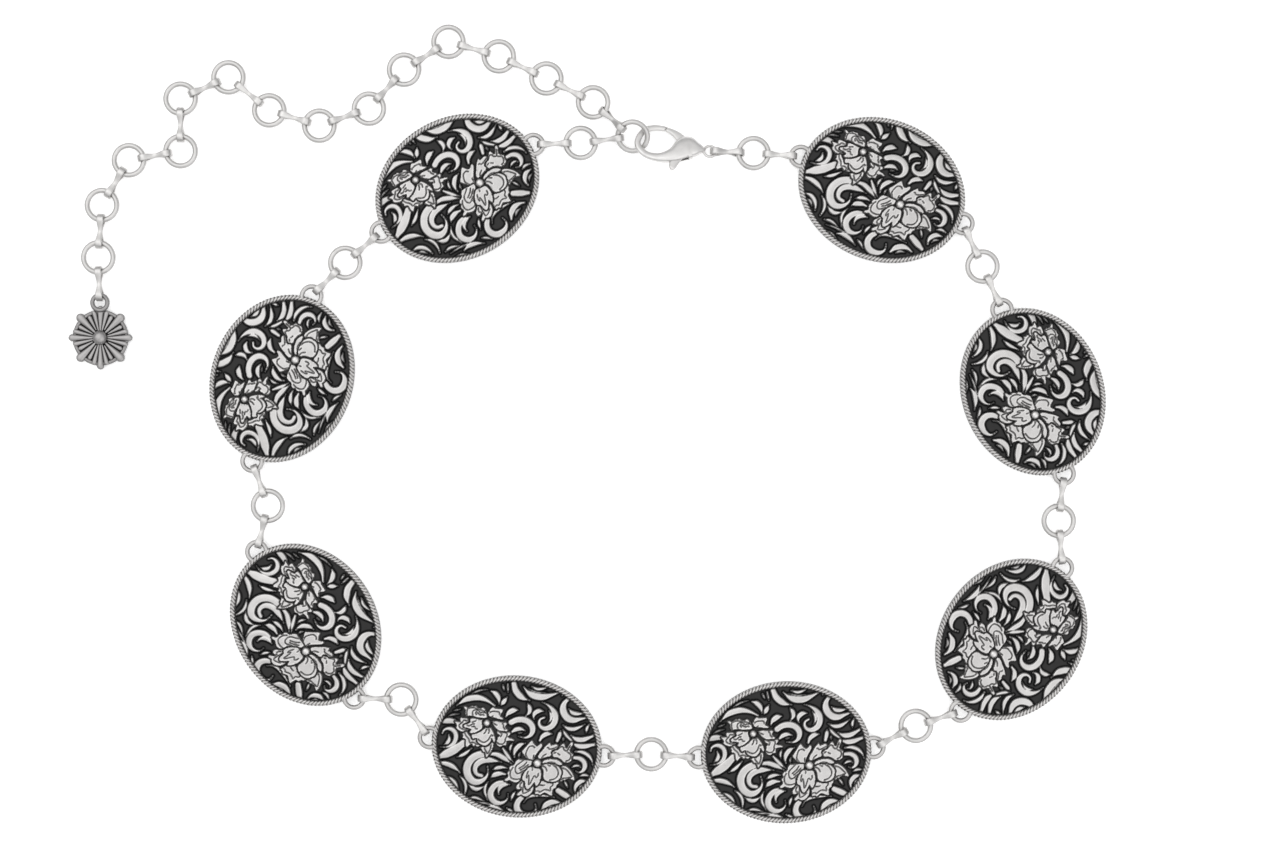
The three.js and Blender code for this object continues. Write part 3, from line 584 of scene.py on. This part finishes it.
def outline_depth(x, y, outline, margin=0.8):
    """The same for a closed outline"""
    corners = spline(np.vstack([outline, outline[:1]]), 0.35)[0][:-1]
    inside = near(x, y, corners, margin)
    px, py = x[inside, None], y[inside, None]
    ax, ay = corners[None, :, 0], corners[None, :, 1]
    after = np.roll(corners, -1, axis=0)
    bx, by = after[None, :, 0], after[None, :, 1]
    dx, dy = bx - ax, by - ay
    share = np.clip(((px - ax) * dx + (py - ay) * dy) / (dx * dx + dy * dy), 0, 1)
    gap = np.hypot(px - ax - share * dx, py - ay - share * dy).min(axis=1)
    crosses = ((ay > py) != (by > py)) & (px < dx * (py - ay) / np.where(dy == 0, 1e-9, dy) + ax)
    within = crosses.sum(axis=1) % 2 == 1
    return inside, np.where(within, gap, -gap)


def from_chart(chart, points):
    """Points of a chart as places on the field"""
    angle = math.radians(CHART_TURN)
    steps = (np.asarray(points, dtype=float) - chart["bead"]) * [1, -1] / chart["squares"]
    turned = np.array([[math.cos(angle), math.sin(angle)], [-math.sin(angle), math.cos(angle)]])
    return steps @ turned + chart["at"]


def ornament(x, y):
    """Height of the relief and its brightness at each place of the field: wear and patina, with painted highlights
    along the relief edges and painted shade round the scrolls
    """
    height = np.zeros(len(x))
    wear_and_painted_light = np.full(len(x), 0.08)
    shade = np.zeros(len(x))
    for width, start, end, share, spine in SCROLLS:
        def half_width(run):
            left = start + (1 - start) * smoothstep(0, 0.35, run)
            right = end + (1 - end) * smoothstep(0, 0.5, 1 - run)
            return 0.5 * SCROLL_GROWTH * width * np.minimum(left, right)
        inside, depth, half = stroke_depth(x, y, from_chart(SCROLL_CHART, spine), half_width)
        top = RELIEF_HEIGHT * (0.55 + 0.45 * share)
        crown = 0.1 * np.clip(depth / max(half, 0.3), 0, 1)
        rise = top * smoothstep(-0.25, 0.2, depth) + crown
        # painted highlight: a brighter band just inside each scroll's edge
        edge = np.exp(-((depth - 0.24) / 0.2) ** 2)
        tone = share * smoothstep(-0.17, 0.22, depth) * (0.82 + 0.18 * edge)
        height[inside] = np.maximum(height[inside], rise)
        wear_and_painted_light[inside] = np.maximum(wear_and_painted_light[inside], tone)
        # painted shade: the low ground round each scroll is darkened towards black
        shade[inside] = np.maximum(shade[inside], smoothstep(-0.9, -0.4, depth))
    wear_and_painted_light = np.where(height < 0.3, wear_and_painted_light * (1 - shade), wear_and_painted_light)
    for flower in FLOWERS:
        for outline, veins in flower["petals"]:
            inside, depth = outline_depth(x, y, from_chart(flower, outline))
            moat = smoothstep(-0.5, -0.2, depth)
            # painted highlight: a brighter band just inside each petal's outline, on its slightly raised rim
            rim = np.exp(-((depth - 0.22) / 0.2) ** 2)
            face = smoothstep(-0.22, 0.18, depth)
            top = PETAL_HEIGHT * face * (0.84 + 0.16 * rim + 0.04 * np.clip(depth, 0, 2))
            height[inside] = np.maximum(height[inside] * (1 - moat), top)
            wear_and_painted_light[inside] = np.maximum(wear_and_painted_light[inside] * (1 - moat), face * (0.80 + 0.20 * rim))
            for vein in veins:
                spot, inner, _ = stroke_depth(x, y, from_chart(flower, vein),
                                              lambda run: 0.5 * VEIN_WIDTH * np.ones_like(run), 0.5)
                groove = smoothstep(-0.2, 0.12, inner)
                # painted highlight: a thin ridge beside each vein, raised a little and painted brighter
                ridge_with_painted_highlight = np.exp(-((inner + 0.3) / 0.14) ** 2) * (wear_and_painted_light[spot] > 0.4)
                height[spot] = height[spot] - VEIN_DEPTH * groove + 0.06 * ridge_with_painted_highlight
                wear_and_painted_light[spot] = np.clip(wear_and_painted_light[spot] * (1 - 0.92 * groove) + 0.15 * ridge_with_painted_highlight, 0, 1)
        radius = flower["radius"]
        gap = np.hypot(x - flower["at"][0], y - flower["at"][1])
        ball = np.sqrt(np.clip(1 - (gap / radius) ** 2, 0, 1))
        moat = gap < radius + 0.35
        height = np.where(moat, np.where(gap < radius, PETAL_HEIGHT - 0.4 + 0.9 * ball, 0.3), height)
        wear_and_painted_light = np.where(moat, np.where(gap < radius, 0.25 + 0.75 * smoothstep(0, 0.5, ball), 0.04), wear_and_painted_light)
    return height, wear_and_painted_light


def field_height(x, y):
    share = np.hypot(x / (CONCHO_HALF_LONG - ROPE_WIDTH), y / (CONCHO_HALF_WIDE - ROPE_WIDTH))
    return FIELD_EDGE_HEIGHT + FIELD_RISE * (1 - np.minimum(1, share * share))


def concho_field(drop):
    """The domed field: a fine grid raised into the ornament, and trimmed to the oval under the rope"""
    columns = int(2 * CONCHO_HALF_LONG / FIELD_STEP)
    rows = int(2 * CONCHO_HALF_WIDE / FIELD_STEP)
    bpy.ops.mesh.primitive_grid_add(x_subdivisions=columns, y_subdivisions=rows, size=2)
    grid = bpy.context.object
    points = np.empty(len(grid.data.vertices) * 3)
    grid.data.vertices.foreach_get("co", points)
    points = points.reshape(-1, 3) * [CONCHO_HALF_LONG, CONCHO_HALF_WIDE, 0]
    faces = np.empty(len(grid.data.polygons) * 4, dtype=int)
    grid.data.polygons.foreach_get("vertices", faces)
    faces = faces.reshape(-1, 4)
    bpy.data.objects.remove(grid)
    x, y = points[:, 0], points[:, 1]
    trim = ROPE_WIDTH * 0.55
    rim = np.hypot(x / (CONCHO_HALF_LONG - trim), y / (CONCHO_HALF_WIDE - trim))
    kept = rim < 1
    height, wear_and_painted_light = ornament(x, y + drop)
    fade = 1 - smoothstep(0.945, 0.975, rim)
    points[:, 2] = field_height(x, y) + height * fade
    wear_and_painted_light = wear_and_painted_light * fade + 0.05 * (1 - fade)
    faces = faces[kept[faces].all(axis=1)]
    order = np.cumsum(kept) - 1
    return Form(points[kept], [tuple(face) for face in order[faces].tolist()], wear_and_painted_light[kept])


def oval_point(angle, inset):
    """A point of the oval, that much inside its edge"""
    return ((CONCHO_HALF_LONG - inset) * math.cos(angle), (CONCHO_HALF_WIDE - inset) * math.sin(angle))


def oval_wall(profile, steps, wear_and_painted_light):
    """A wall round the oval, from a profile of insets and heights"""
    points = []
    for i in range(steps):
        angle = 2 * math.pi * i / steps
        for inset, height in profile:
            points.append((*oval_point(angle, inset), height))
    count = len(profile)
    faces = []
    for i in range(steps):
        after = (i + 1) % steps
        for j in range(count - 1):
            faces.append((i * count + j, after * count + j, after * count + j + 1, i * count + j + 1))
    return Form(points, faces, wear_and_painted_light)


def concho_back():
    """The hollow back and the skirt, up to the rope"""
    fall = FIELD_RISE * 0.2
    inner = [(inset, FIELD_EDGE_HEIGHT - FIELD_WALL + FIELD_RISE - FIELD_RISE * (1 - inset / CONCHO_HALF_WIDE) ** 2)
             for inset in (CONCHO_HALF_WIDE - 0.01, 18, 12, 7, 4)]
    edge = [(SKIRT_WALL + 0.35, FIELD_EDGE_HEIGHT - FIELD_WALL + fall), (SKIRT_WALL, 0.3), (SKIRT_WALL - 0.3, 0),
            (0.45, 0), (0.15, 0.25), (0.1, ROPE_HEIGHT - 0.6 * ROPE_WIDTH), (0.5, ROPE_HEIGHT - 0.35 * ROPE_WIDTH),
            (1.0, ROPE_HEIGHT - 0.3 * ROPE_WIDTH), (ROPE_WIDTH, FIELD_EDGE_HEIGHT - 0.1)]
    return oval_wall(inner + edge, 96, 0.42)


def rope_rim():
    """Strands of the rope, one modelled and the rest copied round the oval"""
    bpy.ops.mesh.primitive_uv_sphere_add(segments=8, ring_count=6, radius=1)
    strand = taken(bpy.context.object)
    strand.wear_and_painted_light = 0.06 + 0.84 * smoothstep(0.0, 0.5, strand.points[:, 2])
    strand.points = strand.points * [STRAND_LENGTH / 2, STRAND_WIDTH / 2, ROPE_WIDTH / 2]
    fine = np.linspace(0, 2 * math.pi, 4001)
    middle = ROPE_WIDTH / 2
    across = (CONCHO_HALF_LONG - middle) * np.cos(fine)
    up = (CONCHO_HALF_WIDE - middle) * np.sin(fine)
    run = np.concatenate([[0], np.cumsum(np.hypot(np.diff(across), np.diff(up)))])
    places = []
    for i in range(ROPE_STRANDS):
        angle = float(np.interp((i + 0.5) / ROPE_STRANDS * run[-1], run, fine))
        x, y = oval_point(angle, middle)
        heading = math.atan2((CONCHO_HALF_WIDE - middle) * math.cos(angle),
                             -(CONCHO_HALF_LONG - middle) * math.sin(angle))
        turn = Matrix.Rotation(heading + math.radians(STRAND_LEAN), 4, "Z")
        places.append(Matrix.Translation((x, y, ROPE_HEIGHT - ROPE_WIDTH / 2)) @ turn)
    return copies(strand, places)


def torus(radius, wire, steps=64, sides=14, wear_and_painted_light=1.0):
    bpy.ops.mesh.primitive_torus_add(major_segments=steps, minor_segments=sides, major_radius=radius,
                                     minor_radius=wire / 2)
    return taken(bpy.context.object, wear_and_painted_light)


def cast_loop():
    """A loop of the casting, cut where it runs into the rim"""
    bpy.ops.mesh.primitive_torus_add(major_segments=48, minor_segments=12, major_radius=LOOP_RADIUS,
                                     minor_radius=LOOP_WIRE / 2)
    obj = bpy.context.object
    alone(obj)
    bpy.ops.object.mode_set(mode="EDIT")
    bpy.ops.mesh.select_all(action="SELECT")
    cut = CONCHO_HALF_LONG - LOOP_CENTRE - 1.2
    bpy.ops.mesh.bisect(plane_co=(cut, 0, 0), plane_no=(1, 0, 0), use_fill=True, clear_inner=True)
    bpy.ops.object.mode_set(mode="OBJECT")
    loop = taken(obj, 0.8)
    return loop.moved(Matrix.Translation((LOOP_CENTRE, 0, CHAIN_HEIGHT)))


def eye_centreline():
    """Closed centreline of a figure-eight band, from its eyes to its pinched waist"""
    radius = EYE_RADIUS + BAND_THICKNESS / 2
    waist = WAIST_GAP / 2 + BAND_THICKNESS / 2
    half = LINK_SPAN / 2
    sweep = math.radians(110)
    points = []
    for side in (1, -1):
        for i in range(17):
            angle = -sweep + 2 * sweep * i / 16
            points.append((side * (half + radius * math.cos(angle)), side * radius * math.sin(angle)))
        for along in (0.52, 0.36, 0.2, 0.06, -0.06, -0.2, -0.36, -0.52):
            rise = waist + (radius * math.sin(sweep) - waist) * (abs(along) / 0.66) ** 1.3
            points.append((side * along * (half + radius * math.cos(sweep)) / 0.66, side * rise))
    return points


def link_band():
    """The band: a closed flat curve with a rounded strip along it, made a mesh and stood on edge"""
    curve = bpy.data.curves.new("band", "CURVE")
    curve.dimensions = "2D"
    curve.fill_mode = "NONE"
    curve.extrude = BAND_WIDTH / 2 - 0.35
    curve.bevel_depth = 0.35
    curve.bevel_resolution = 2
    line = curve.splines.new("POLY")
    points = eye_centreline()
    line.points.add(len(points) - 1)
    for point, (x, y) in zip(line.points, points):
        point.co = (x, y, 0, 1)
    line.use_cyclic_u = True
    obj = bpy.data.objects.new("band", curve)
    bpy.context.scene.collection.objects.link(obj)
    alone(obj)
    bpy.ops.object.convert(target="MESH")
    alone(bpy.context.object)
    bpy.ops.object.mode_set(mode="EDIT")
    bpy.ops.mesh.select_all(action="SELECT")
    bpy.ops.mesh.remove_doubles(threshold=0.001)
    bpy.ops.mesh.normals_make_consistent(inside=False)
    bpy.ops.object.mode_set(mode="OBJECT")
    band = taken(bpy.context.object, 0.85)
    band.points[:, 2] *= WAIST_SHARE + (1.1 - WAIST_SHARE) * smoothstep(0.2, 4.2, abs(band.points[:, 0]))
    return band.moved(Matrix.Rotation(math.radians(90), 4, "X"))


def node_points(name):
    mesh = frame["nodes"][name].data
    points = np.empty(len(mesh.vertices) * 3)
    mesh.vertices.foreach_get("co", points)
    return points.reshape(-1, 3)


def axes_of(points):
    """Middle of some points and their long, middle and short axes, as a place"""
    low, high = points.min(axis=0), points.max(axis=0)
    spread, axes = np.linalg.eigh(np.cov((np.unique(points.round(6), axis=0)).T))
    long, short = axes[:, 2], axes[:, 0]
    if short[2] < 0:
        short = -short
    across = np.cross(short, long)
    place = Matrix([[long[i], across[i], short[i], (low[i] + high[i]) / 2] for i in range(3)] + [[0, 0, 0, 1]])
    return place


def concho_place(name, heading):
    """Place of a concho whose back lies on the floor, turned to the heading it is given or its true one nearby"""
    points = node_points(name)
    base = np.unique(points[points[:, 2] < 0.00005].round(6), axis=0)[:, :2]
    spread, axes = np.linalg.eigh(np.cov(base.T))
    found = math.degrees(math.atan2(axes[1, 1], axes[0, 1]))
    if math.cos(math.radians(found - heading)) < 0:
        found += 180
    middle = (base.min(axis=0) + base.max(axis=0)) / 2
    return Matrix.Translation((middle[0], middle[1], 0)) @ Matrix.Rotation(math.radians(found), 4, "Z")


def between(start, end, stand):
    """Place of a link between two points, standing up a given way"""
    along = (end - start).normalized()
    across = stand.cross(along).normalized()
    up = along.cross(across)
    middle = (start + end) / 2
    return Matrix([[along[i], across[i], up[i], middle[i]] for i in range(3)] + [[0, 0, 0, 1]])


def way(heading):
    return Vector((math.cos(math.radians(heading)), math.sin(math.radians(heading)), 0))


UP = Vector((0, 0, 1))


def box_middle(name):
    low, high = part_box(name)
    return (low + high) / 2


# Conchos
LOOP = cast_loop()
HALF_TURN = Matrix.Rotation(math.pi, 4, "Z")
PLAIN = joined([concho_back(), rope_rim(), LOOP, LOOP.moved(HALF_TURN)])
FIELDS = {drop: concho_field(drop) for drop in {row["drop"] for row in CONCHO_ROWS}}
for row in CONCHO_ROWS:
    casting = joined([FIELDS[row["drop"]], PLAIN])
    place = concho_place(row["node"], row["heading"])
    made_piece(f"{row['node']}_casting", casting, place, ANTIQUED, [row["node"]])

# Rings and links of the belt
RING = torus(RING_RADIUS, RING_WIRE, wear_and_painted_light=0.72)
BAND = link_band()
for number in range(1, 10):
    node = f"ring_{number}"
    place = Matrix.Translation(box_middle(node))
    made_piece(f"round_{node}", RING, place, SATIN, [node])
end_place = axes_of(node_points("end_ring"))
end_ring_place = Matrix.Translation(box_middle("end_ring")) @ end_place.to_3x3().to_4x4()
made_piece("round_end_ring", RING, end_ring_place, SATIN, ["end_ring"])
for number in range(1, 19):
    node = f"link_{number}"
    place = axes_of(node_points(node))
    long = place.col[0].to_3d()
    width = place.col[2].to_3d()
    tall = place.col[1].to_3d()
    flat = Matrix([[long[i], -width[i] if tall.cross(long).dot(width) < 0 else width[i], tall[i], place[i][3]]
                   for i in range(3)] + [[0, 0, 0, 1]])
    made_piece(f"band_{node}", BAND, flat, SATIN, [node])

# Extension chain
chain_forms = []
end_normal = end_ring_place.col[2].to_3d()
middle = box_middle("end_ring") / MM
start = None
for i, heading in enumerate(CHAIN_ROUTE):
    last = i == len(CHAIN_ROUTE) - 1
    step = way(heading)
    if i == 0:
        local = end_ring_place.to_3x3().inverted() @ step
        local.z = 0
        start = middle + end_ring_place.to_3x3() @ (local.normalized() * RING_RADIUS)
    else:
        start = middle + step * RING_RADIUS
    reach = RING_RADIUS + LINK_SPAN + (CHARM_LOOP_RADIUS if last else RING_RADIUS)
    following = middle + step * reach
    following.z = CHAIN_HEIGHT
    end = following - step * (CHARM_LOOP_RADIUS if last else RING_RADIUS)
    stand = end_normal if i == 0 else UP
    chain_forms.append(BAND.moved(between(start, end, stand)))
    if not last:
        chain_forms.append(RING.moved(Matrix.Translation(following)))
    middle = following
made_piece("loose_chain", joined(chain_forms), Matrix.Identity(4), SATIN, ["extension_chain"])

# Charm
charm_middle = middle + way(CHARM_HEADING) * CHARM_REACH


def club(start, reach, half, thin, tall):
    """A ray that swells from its thin start to a round end, shaped from a sphere with its poles along the ray"""
    bpy.ops.mesh.primitive_uv_sphere_add(segments=16, ring_count=18, radius=1)
    ray = taken(bpy.context.object)
    along = start + (reach - start) * (ray.points[:, 2] + 1) / 2
    girth = np.hypot(ray.points[:, 0], ray.points[:, 1])
    girth = np.where(girth < 0.001, 1, girth)
    across, up = ray.points[:, 0] / girth, ray.points[:, 1] / girth
    shoulder = reach - half
    swell = thin + (half - thin) * np.clip((along - start) / (shoulder - start), 0, 1) ** 1.1
    swell *= np.sqrt(np.clip(1 - (np.clip(along - shoulder, 0, half) / half) ** 2, 0, 1))
    height = tall * (0.45 + 0.55 * np.clip(swell / half, 0, 1)) * np.minimum(1, swell / 0.3)
    ray.wear_and_painted_light = 0.04 + 0.96 * smoothstep(0.02, 0.42, up)
    ray.points = np.column_stack([along, across * swell, np.sign(up) * abs(up) ** 0.75 * height])
    return ray


def rosette():
    """Rays, petals and the bead on a disc with a raised rim"""
    bpy.ops.mesh.primitive_cylinder_add(vertices=96, radius=CHARM_RADIUS - 0.6, depth=CHARM_DISC_HEIGHT,
                                        location=(0, 0, CHARM_DISC_HEIGHT / 2))
    disc = taken(bpy.context.object, 0.04)
    rim = torus(CHARM_RADIUS - 0.75, 1.4, 96, 12, 0.8)
    rim.points = rim.points * [1, 1, 0.8] + [0, 0, CHARM_DISC_HEIGHT - 0.35]
    bpy.ops.mesh.primitive_uv_sphere_add(segments=32, ring_count=16, radius=CHARM_BEAD_RADIUS)
    bead = taken(bpy.context.object)
    bead.wear_and_painted_light = 0.05 + 0.95 * smoothstep(-0.3, 0.1, bead.points[:, 2] / CHARM_BEAD_RADIUS)
    bead.points = bead.points * [1, 1, 0.72] + [0, 0, CHARM_TOP]
    forms = [disc, rim, bead]
    for ray in CHARM_RAYS:
        shape = club(ray["start"], ray["reach"], ray["half"], ray["thin"], ray["tall"])
        shape = shape.moved(Matrix.Translation((0, 0, CHARM_DISC_HEIGHT - 0.1)))
        for quarter in range(4):
            turn = Matrix.Rotation(math.radians(90 * quarter + ray["angle"]), 4, "Z")
            forms.append(shape.moved(turn))
    loop = torus(CHARM_LOOP_RADIUS, CHARM_LOOP_WIRE, 48, 12, 0.85)
    forms.append(loop.moved(Matrix.Translation((-CHARM_REACH, 0, CHAIN_HEIGHT))))
    return joined(forms)


charm_place = Matrix.Translation((charm_middle.x * MM, charm_middle.y * MM, 0)) @ Matrix.Rotation(
    math.radians(CHARM_HEADING), 4, "Z")
made_piece("rosette", rosette(), charm_place, CHARM_SILVER, ["charm"])


# Clasp
def on_clasp(points):
    return [(x * CLASP_LENGTH, y * CLASP_LENGTH) for x, y in points]


def smooth_outline(points, count):
    line, run = spline(points + [points[0]], 0.2)
    picks = np.linspace(0, 1, count, endpoint=False)
    return list(zip(np.interp(picks, run, line[:, 0]), np.interp(picks, run, line[:, 1])))


def cut_plate(outline, thickness, rounding, wear_and_painted_light=1.0):
    """An outline filled, pulled up to its thickness and rounded along its edges"""
    bpy.ops.mesh.primitive_circle_add(vertices=len(outline), radius=1, fill_type="NGON")
    obj = bpy.context.object
    alone(obj)
    for vertex, (x, y) in zip(obj.data.vertices, outline):
        vertex.co = (x, y, -thickness / 2)
    bpy.ops.object.mode_set(mode="EDIT")
    bpy.ops.mesh.select_all(action="SELECT")
    bpy.ops.mesh.extrude_region_move(TRANSFORM_OT_translate={"value": (0, 0, thickness)})
    bpy.ops.mesh.select_all(action="SELECT")
    bpy.ops.mesh.normals_make_consistent(inside=False)
    bpy.ops.object.mode_set(mode="OBJECT")
    bevel = obj.modifiers.new("rounding", "BEVEL")
    bevel.width = rounding
    bevel.segments = 4
    bevel.limit_method = "ANGLE"
    bevel.angle_limit = math.radians(50)
    bpy.ops.object.modifier_apply(modifier="rounding")
    return taken(obj, wear_and_painted_light)


def swept_clasp():
    """Bow and body as one flattened wire that swells into the body, slotted for the lever"""
    line, run = spline(CLASP_SWEEP, 0.3)
    sides = 48
    points = []
    for (x, y, half, deep), ahead, share in zip(line, np.gradient(line, axis=0), run):
        across = np.array([-ahead[1], ahead[0]]) / np.hypot(ahead[0], ahead[1])
        slant = BOW_SLANT * max(0, 1 - share / 0.04)
        for j in range(sides):
            angle = 2 * math.pi * j / sides
            out = half * math.copysign(abs(math.cos(angle)) ** 0.75, math.cos(angle))
            rise = deep * math.copysign(abs(math.sin(angle)) ** 0.75, math.sin(angle))
            points.append((x + (across[0] + slant * across[1]) * out, y + across[1] * out, rise))
    faces = []
    for i in range(len(line) - 1):
        for j in range(sides):
            k = (j + 1) % sides
            faces.append((i * sides + j, (i + 1) * sides + j, (i + 1) * sides + k, i * sides + k))
    last = (len(line) - 1) * sides
    faces.append(tuple(range(sides)))
    faces.append(tuple(last + j for j in reversed(range(sides))))
    mesh = bpy.data.meshes.new("swept clasp")
    mesh.from_pydata(points, [], faces)
    body = bpy.data.objects.new("swept clasp", mesh)
    bpy.context.scene.collection.objects.link(body)
    low, high = SLOT_ENDS
    bpy.ops.mesh.primitive_cube_add(size=1, location=((low + high) / 2, 0, 0), scale=(high - low, 20, SLOT_WIDTH))
    cutter = bpy.context.object
    alone(body)
    bpy.ops.object.mode_set(mode="EDIT")
    bpy.ops.mesh.select_all(action="SELECT")
    bpy.ops.mesh.normals_make_consistent(inside=False)
    bpy.ops.object.mode_set(mode="OBJECT")
    slot = body.modifiers.new("slot", "BOOLEAN")
    slot.object = cutter
    slot.operation = "DIFFERENCE"
    bpy.ops.object.modifier_apply(modifier="slot")
    bpy.data.objects.remove(cutter)
    return taken(body)


clasp_up = Vector(frame["record"]["behaviour"]["joints"][0]["axis"]).normalized()
pivot = Vector(frame["record"]["behaviour"]["joints"][0]["pos_m"])
clasp_along = clasp_up.cross(UP).normalized()
if clasp_along.x < 0:
    clasp_along = -clasp_along
clasp_across = clasp_up.cross(clasp_along)
turn = Matrix([[clasp_along[i], clasp_across[i], clasp_up[i], 0] for i in range(3)] + [[0, 0, 0, 1]])
clasp_place = Matrix.Translation(pivot) @ turn @ Matrix.Translation((-PIVOT_ALONG * CLASP_LENGTH * MM, 0, 0))

bpy.ops.mesh.primitive_cylinder_add(vertices=24, radius=1.0, depth=CLASP_THICKNESS - 1.2,
                                    location=(PIVOT_ALONG * CLASP_LENGTH, 0, 0))
rivet = taken(bpy.context.object)
body_forms = [swept_clasp(), rivet, torus(TAIL_RADIUS, TAIL_WIRE, 48, 12)]
made_piece("hook_body", joined(body_forms), clasp_place, SATIN, ["clasp_body"])
lever = cut_plate(smooth_outline(on_clasp(LEVER_OUTLINE), 60), LEVER_THICKNESS, 0.5)
made_piece("hook_lever", lever, clasp_place, SATIN, ["clasp_lever"], body="lever")

# Floor, light and camera
bpy.ops.mesh.primitive_plane_add(size=6, location=(0, 0, 0))
floor = bpy.context.object
floor.name = "floor"
paper = Finish("white paper")
grain = paper.noise(60, 2)
paper.set(
    Base_Color=paper.colour(grain, (0.93, 0.93, 0.93, 1), (0.95, 0.95, 0.95, 1)),
    Roughness=0.95,
    Specular_IOR_Level=0.1,
    Emission_Color=(1, 1, 1, 1),
    Emission_Strength=0.35,
)
floor.data.materials.append(paper.material)


def softbox(name, place, size, power):
    light = bpy.data.lights.new(name, "AREA")
    light.shape = "RECTANGLE"
    light.size, light.size_y = size
    light.energy = power
    obj = bpy.data.objects.new(name, light)
    obj.location = place
    obj.rotation_euler = (-Vector(place)).to_track_quat("-Z", "Y").to_euler()
    bpy.context.scene.collection.objects.link(obj)


softbox("key softbox", (-0.7, 0.6, 1.7), (2.0, 2.0), 9)
softbox("fill softbox", (0.9, -0.8, 1.5), (2.0, 2.0), 7)

# The studio round the table: light above, darker towards the horizon
world = bpy.data.worlds.new("studio")
world.use_nodes = True
tree = world.node_tree
direction = tree.nodes.new("ShaderNodeTexCoord")
split = tree.nodes.new("ShaderNodeSeparateXYZ")
ramp = tree.nodes.new("ShaderNodeValToRGB")
ramp.color_ramp.elements[0].position = 0.1
ramp.color_ramp.elements[0].color = (0.2, 0.2, 0.205, 1)
ramp.color_ramp.elements[1].position = 0.68
ramp.color_ramp.elements[1].color = (0.97, 0.97, 0.97, 1)
tree.links.new(direction.outputs["Generated"], split.inputs[0])
tree.links.new(split.outputs["Z"], ramp.inputs[0])
tree.links.new(ramp.outputs[0], tree.nodes["Background"].inputs["Color"])
bpy.context.scene.world = world
bpy.context.scene.view_settings.view_transform = "Standard"

lens = bpy.data.cameras.new("camera")
lens.sensor_width = 36
lens.lens = 36 * CAMERA_HEIGHT / FRAME_WIDTH
lens.clip_start = 0.01
camera = bpy.data.objects.new("camera", lens)
camera.location = (CAMERA_PLACE[0], CAMERA_PLACE[1], CAMERA_HEIGHT)
bpy.context.scene.collection.objects.link(camera)
bpy.context.scene.camera = camera
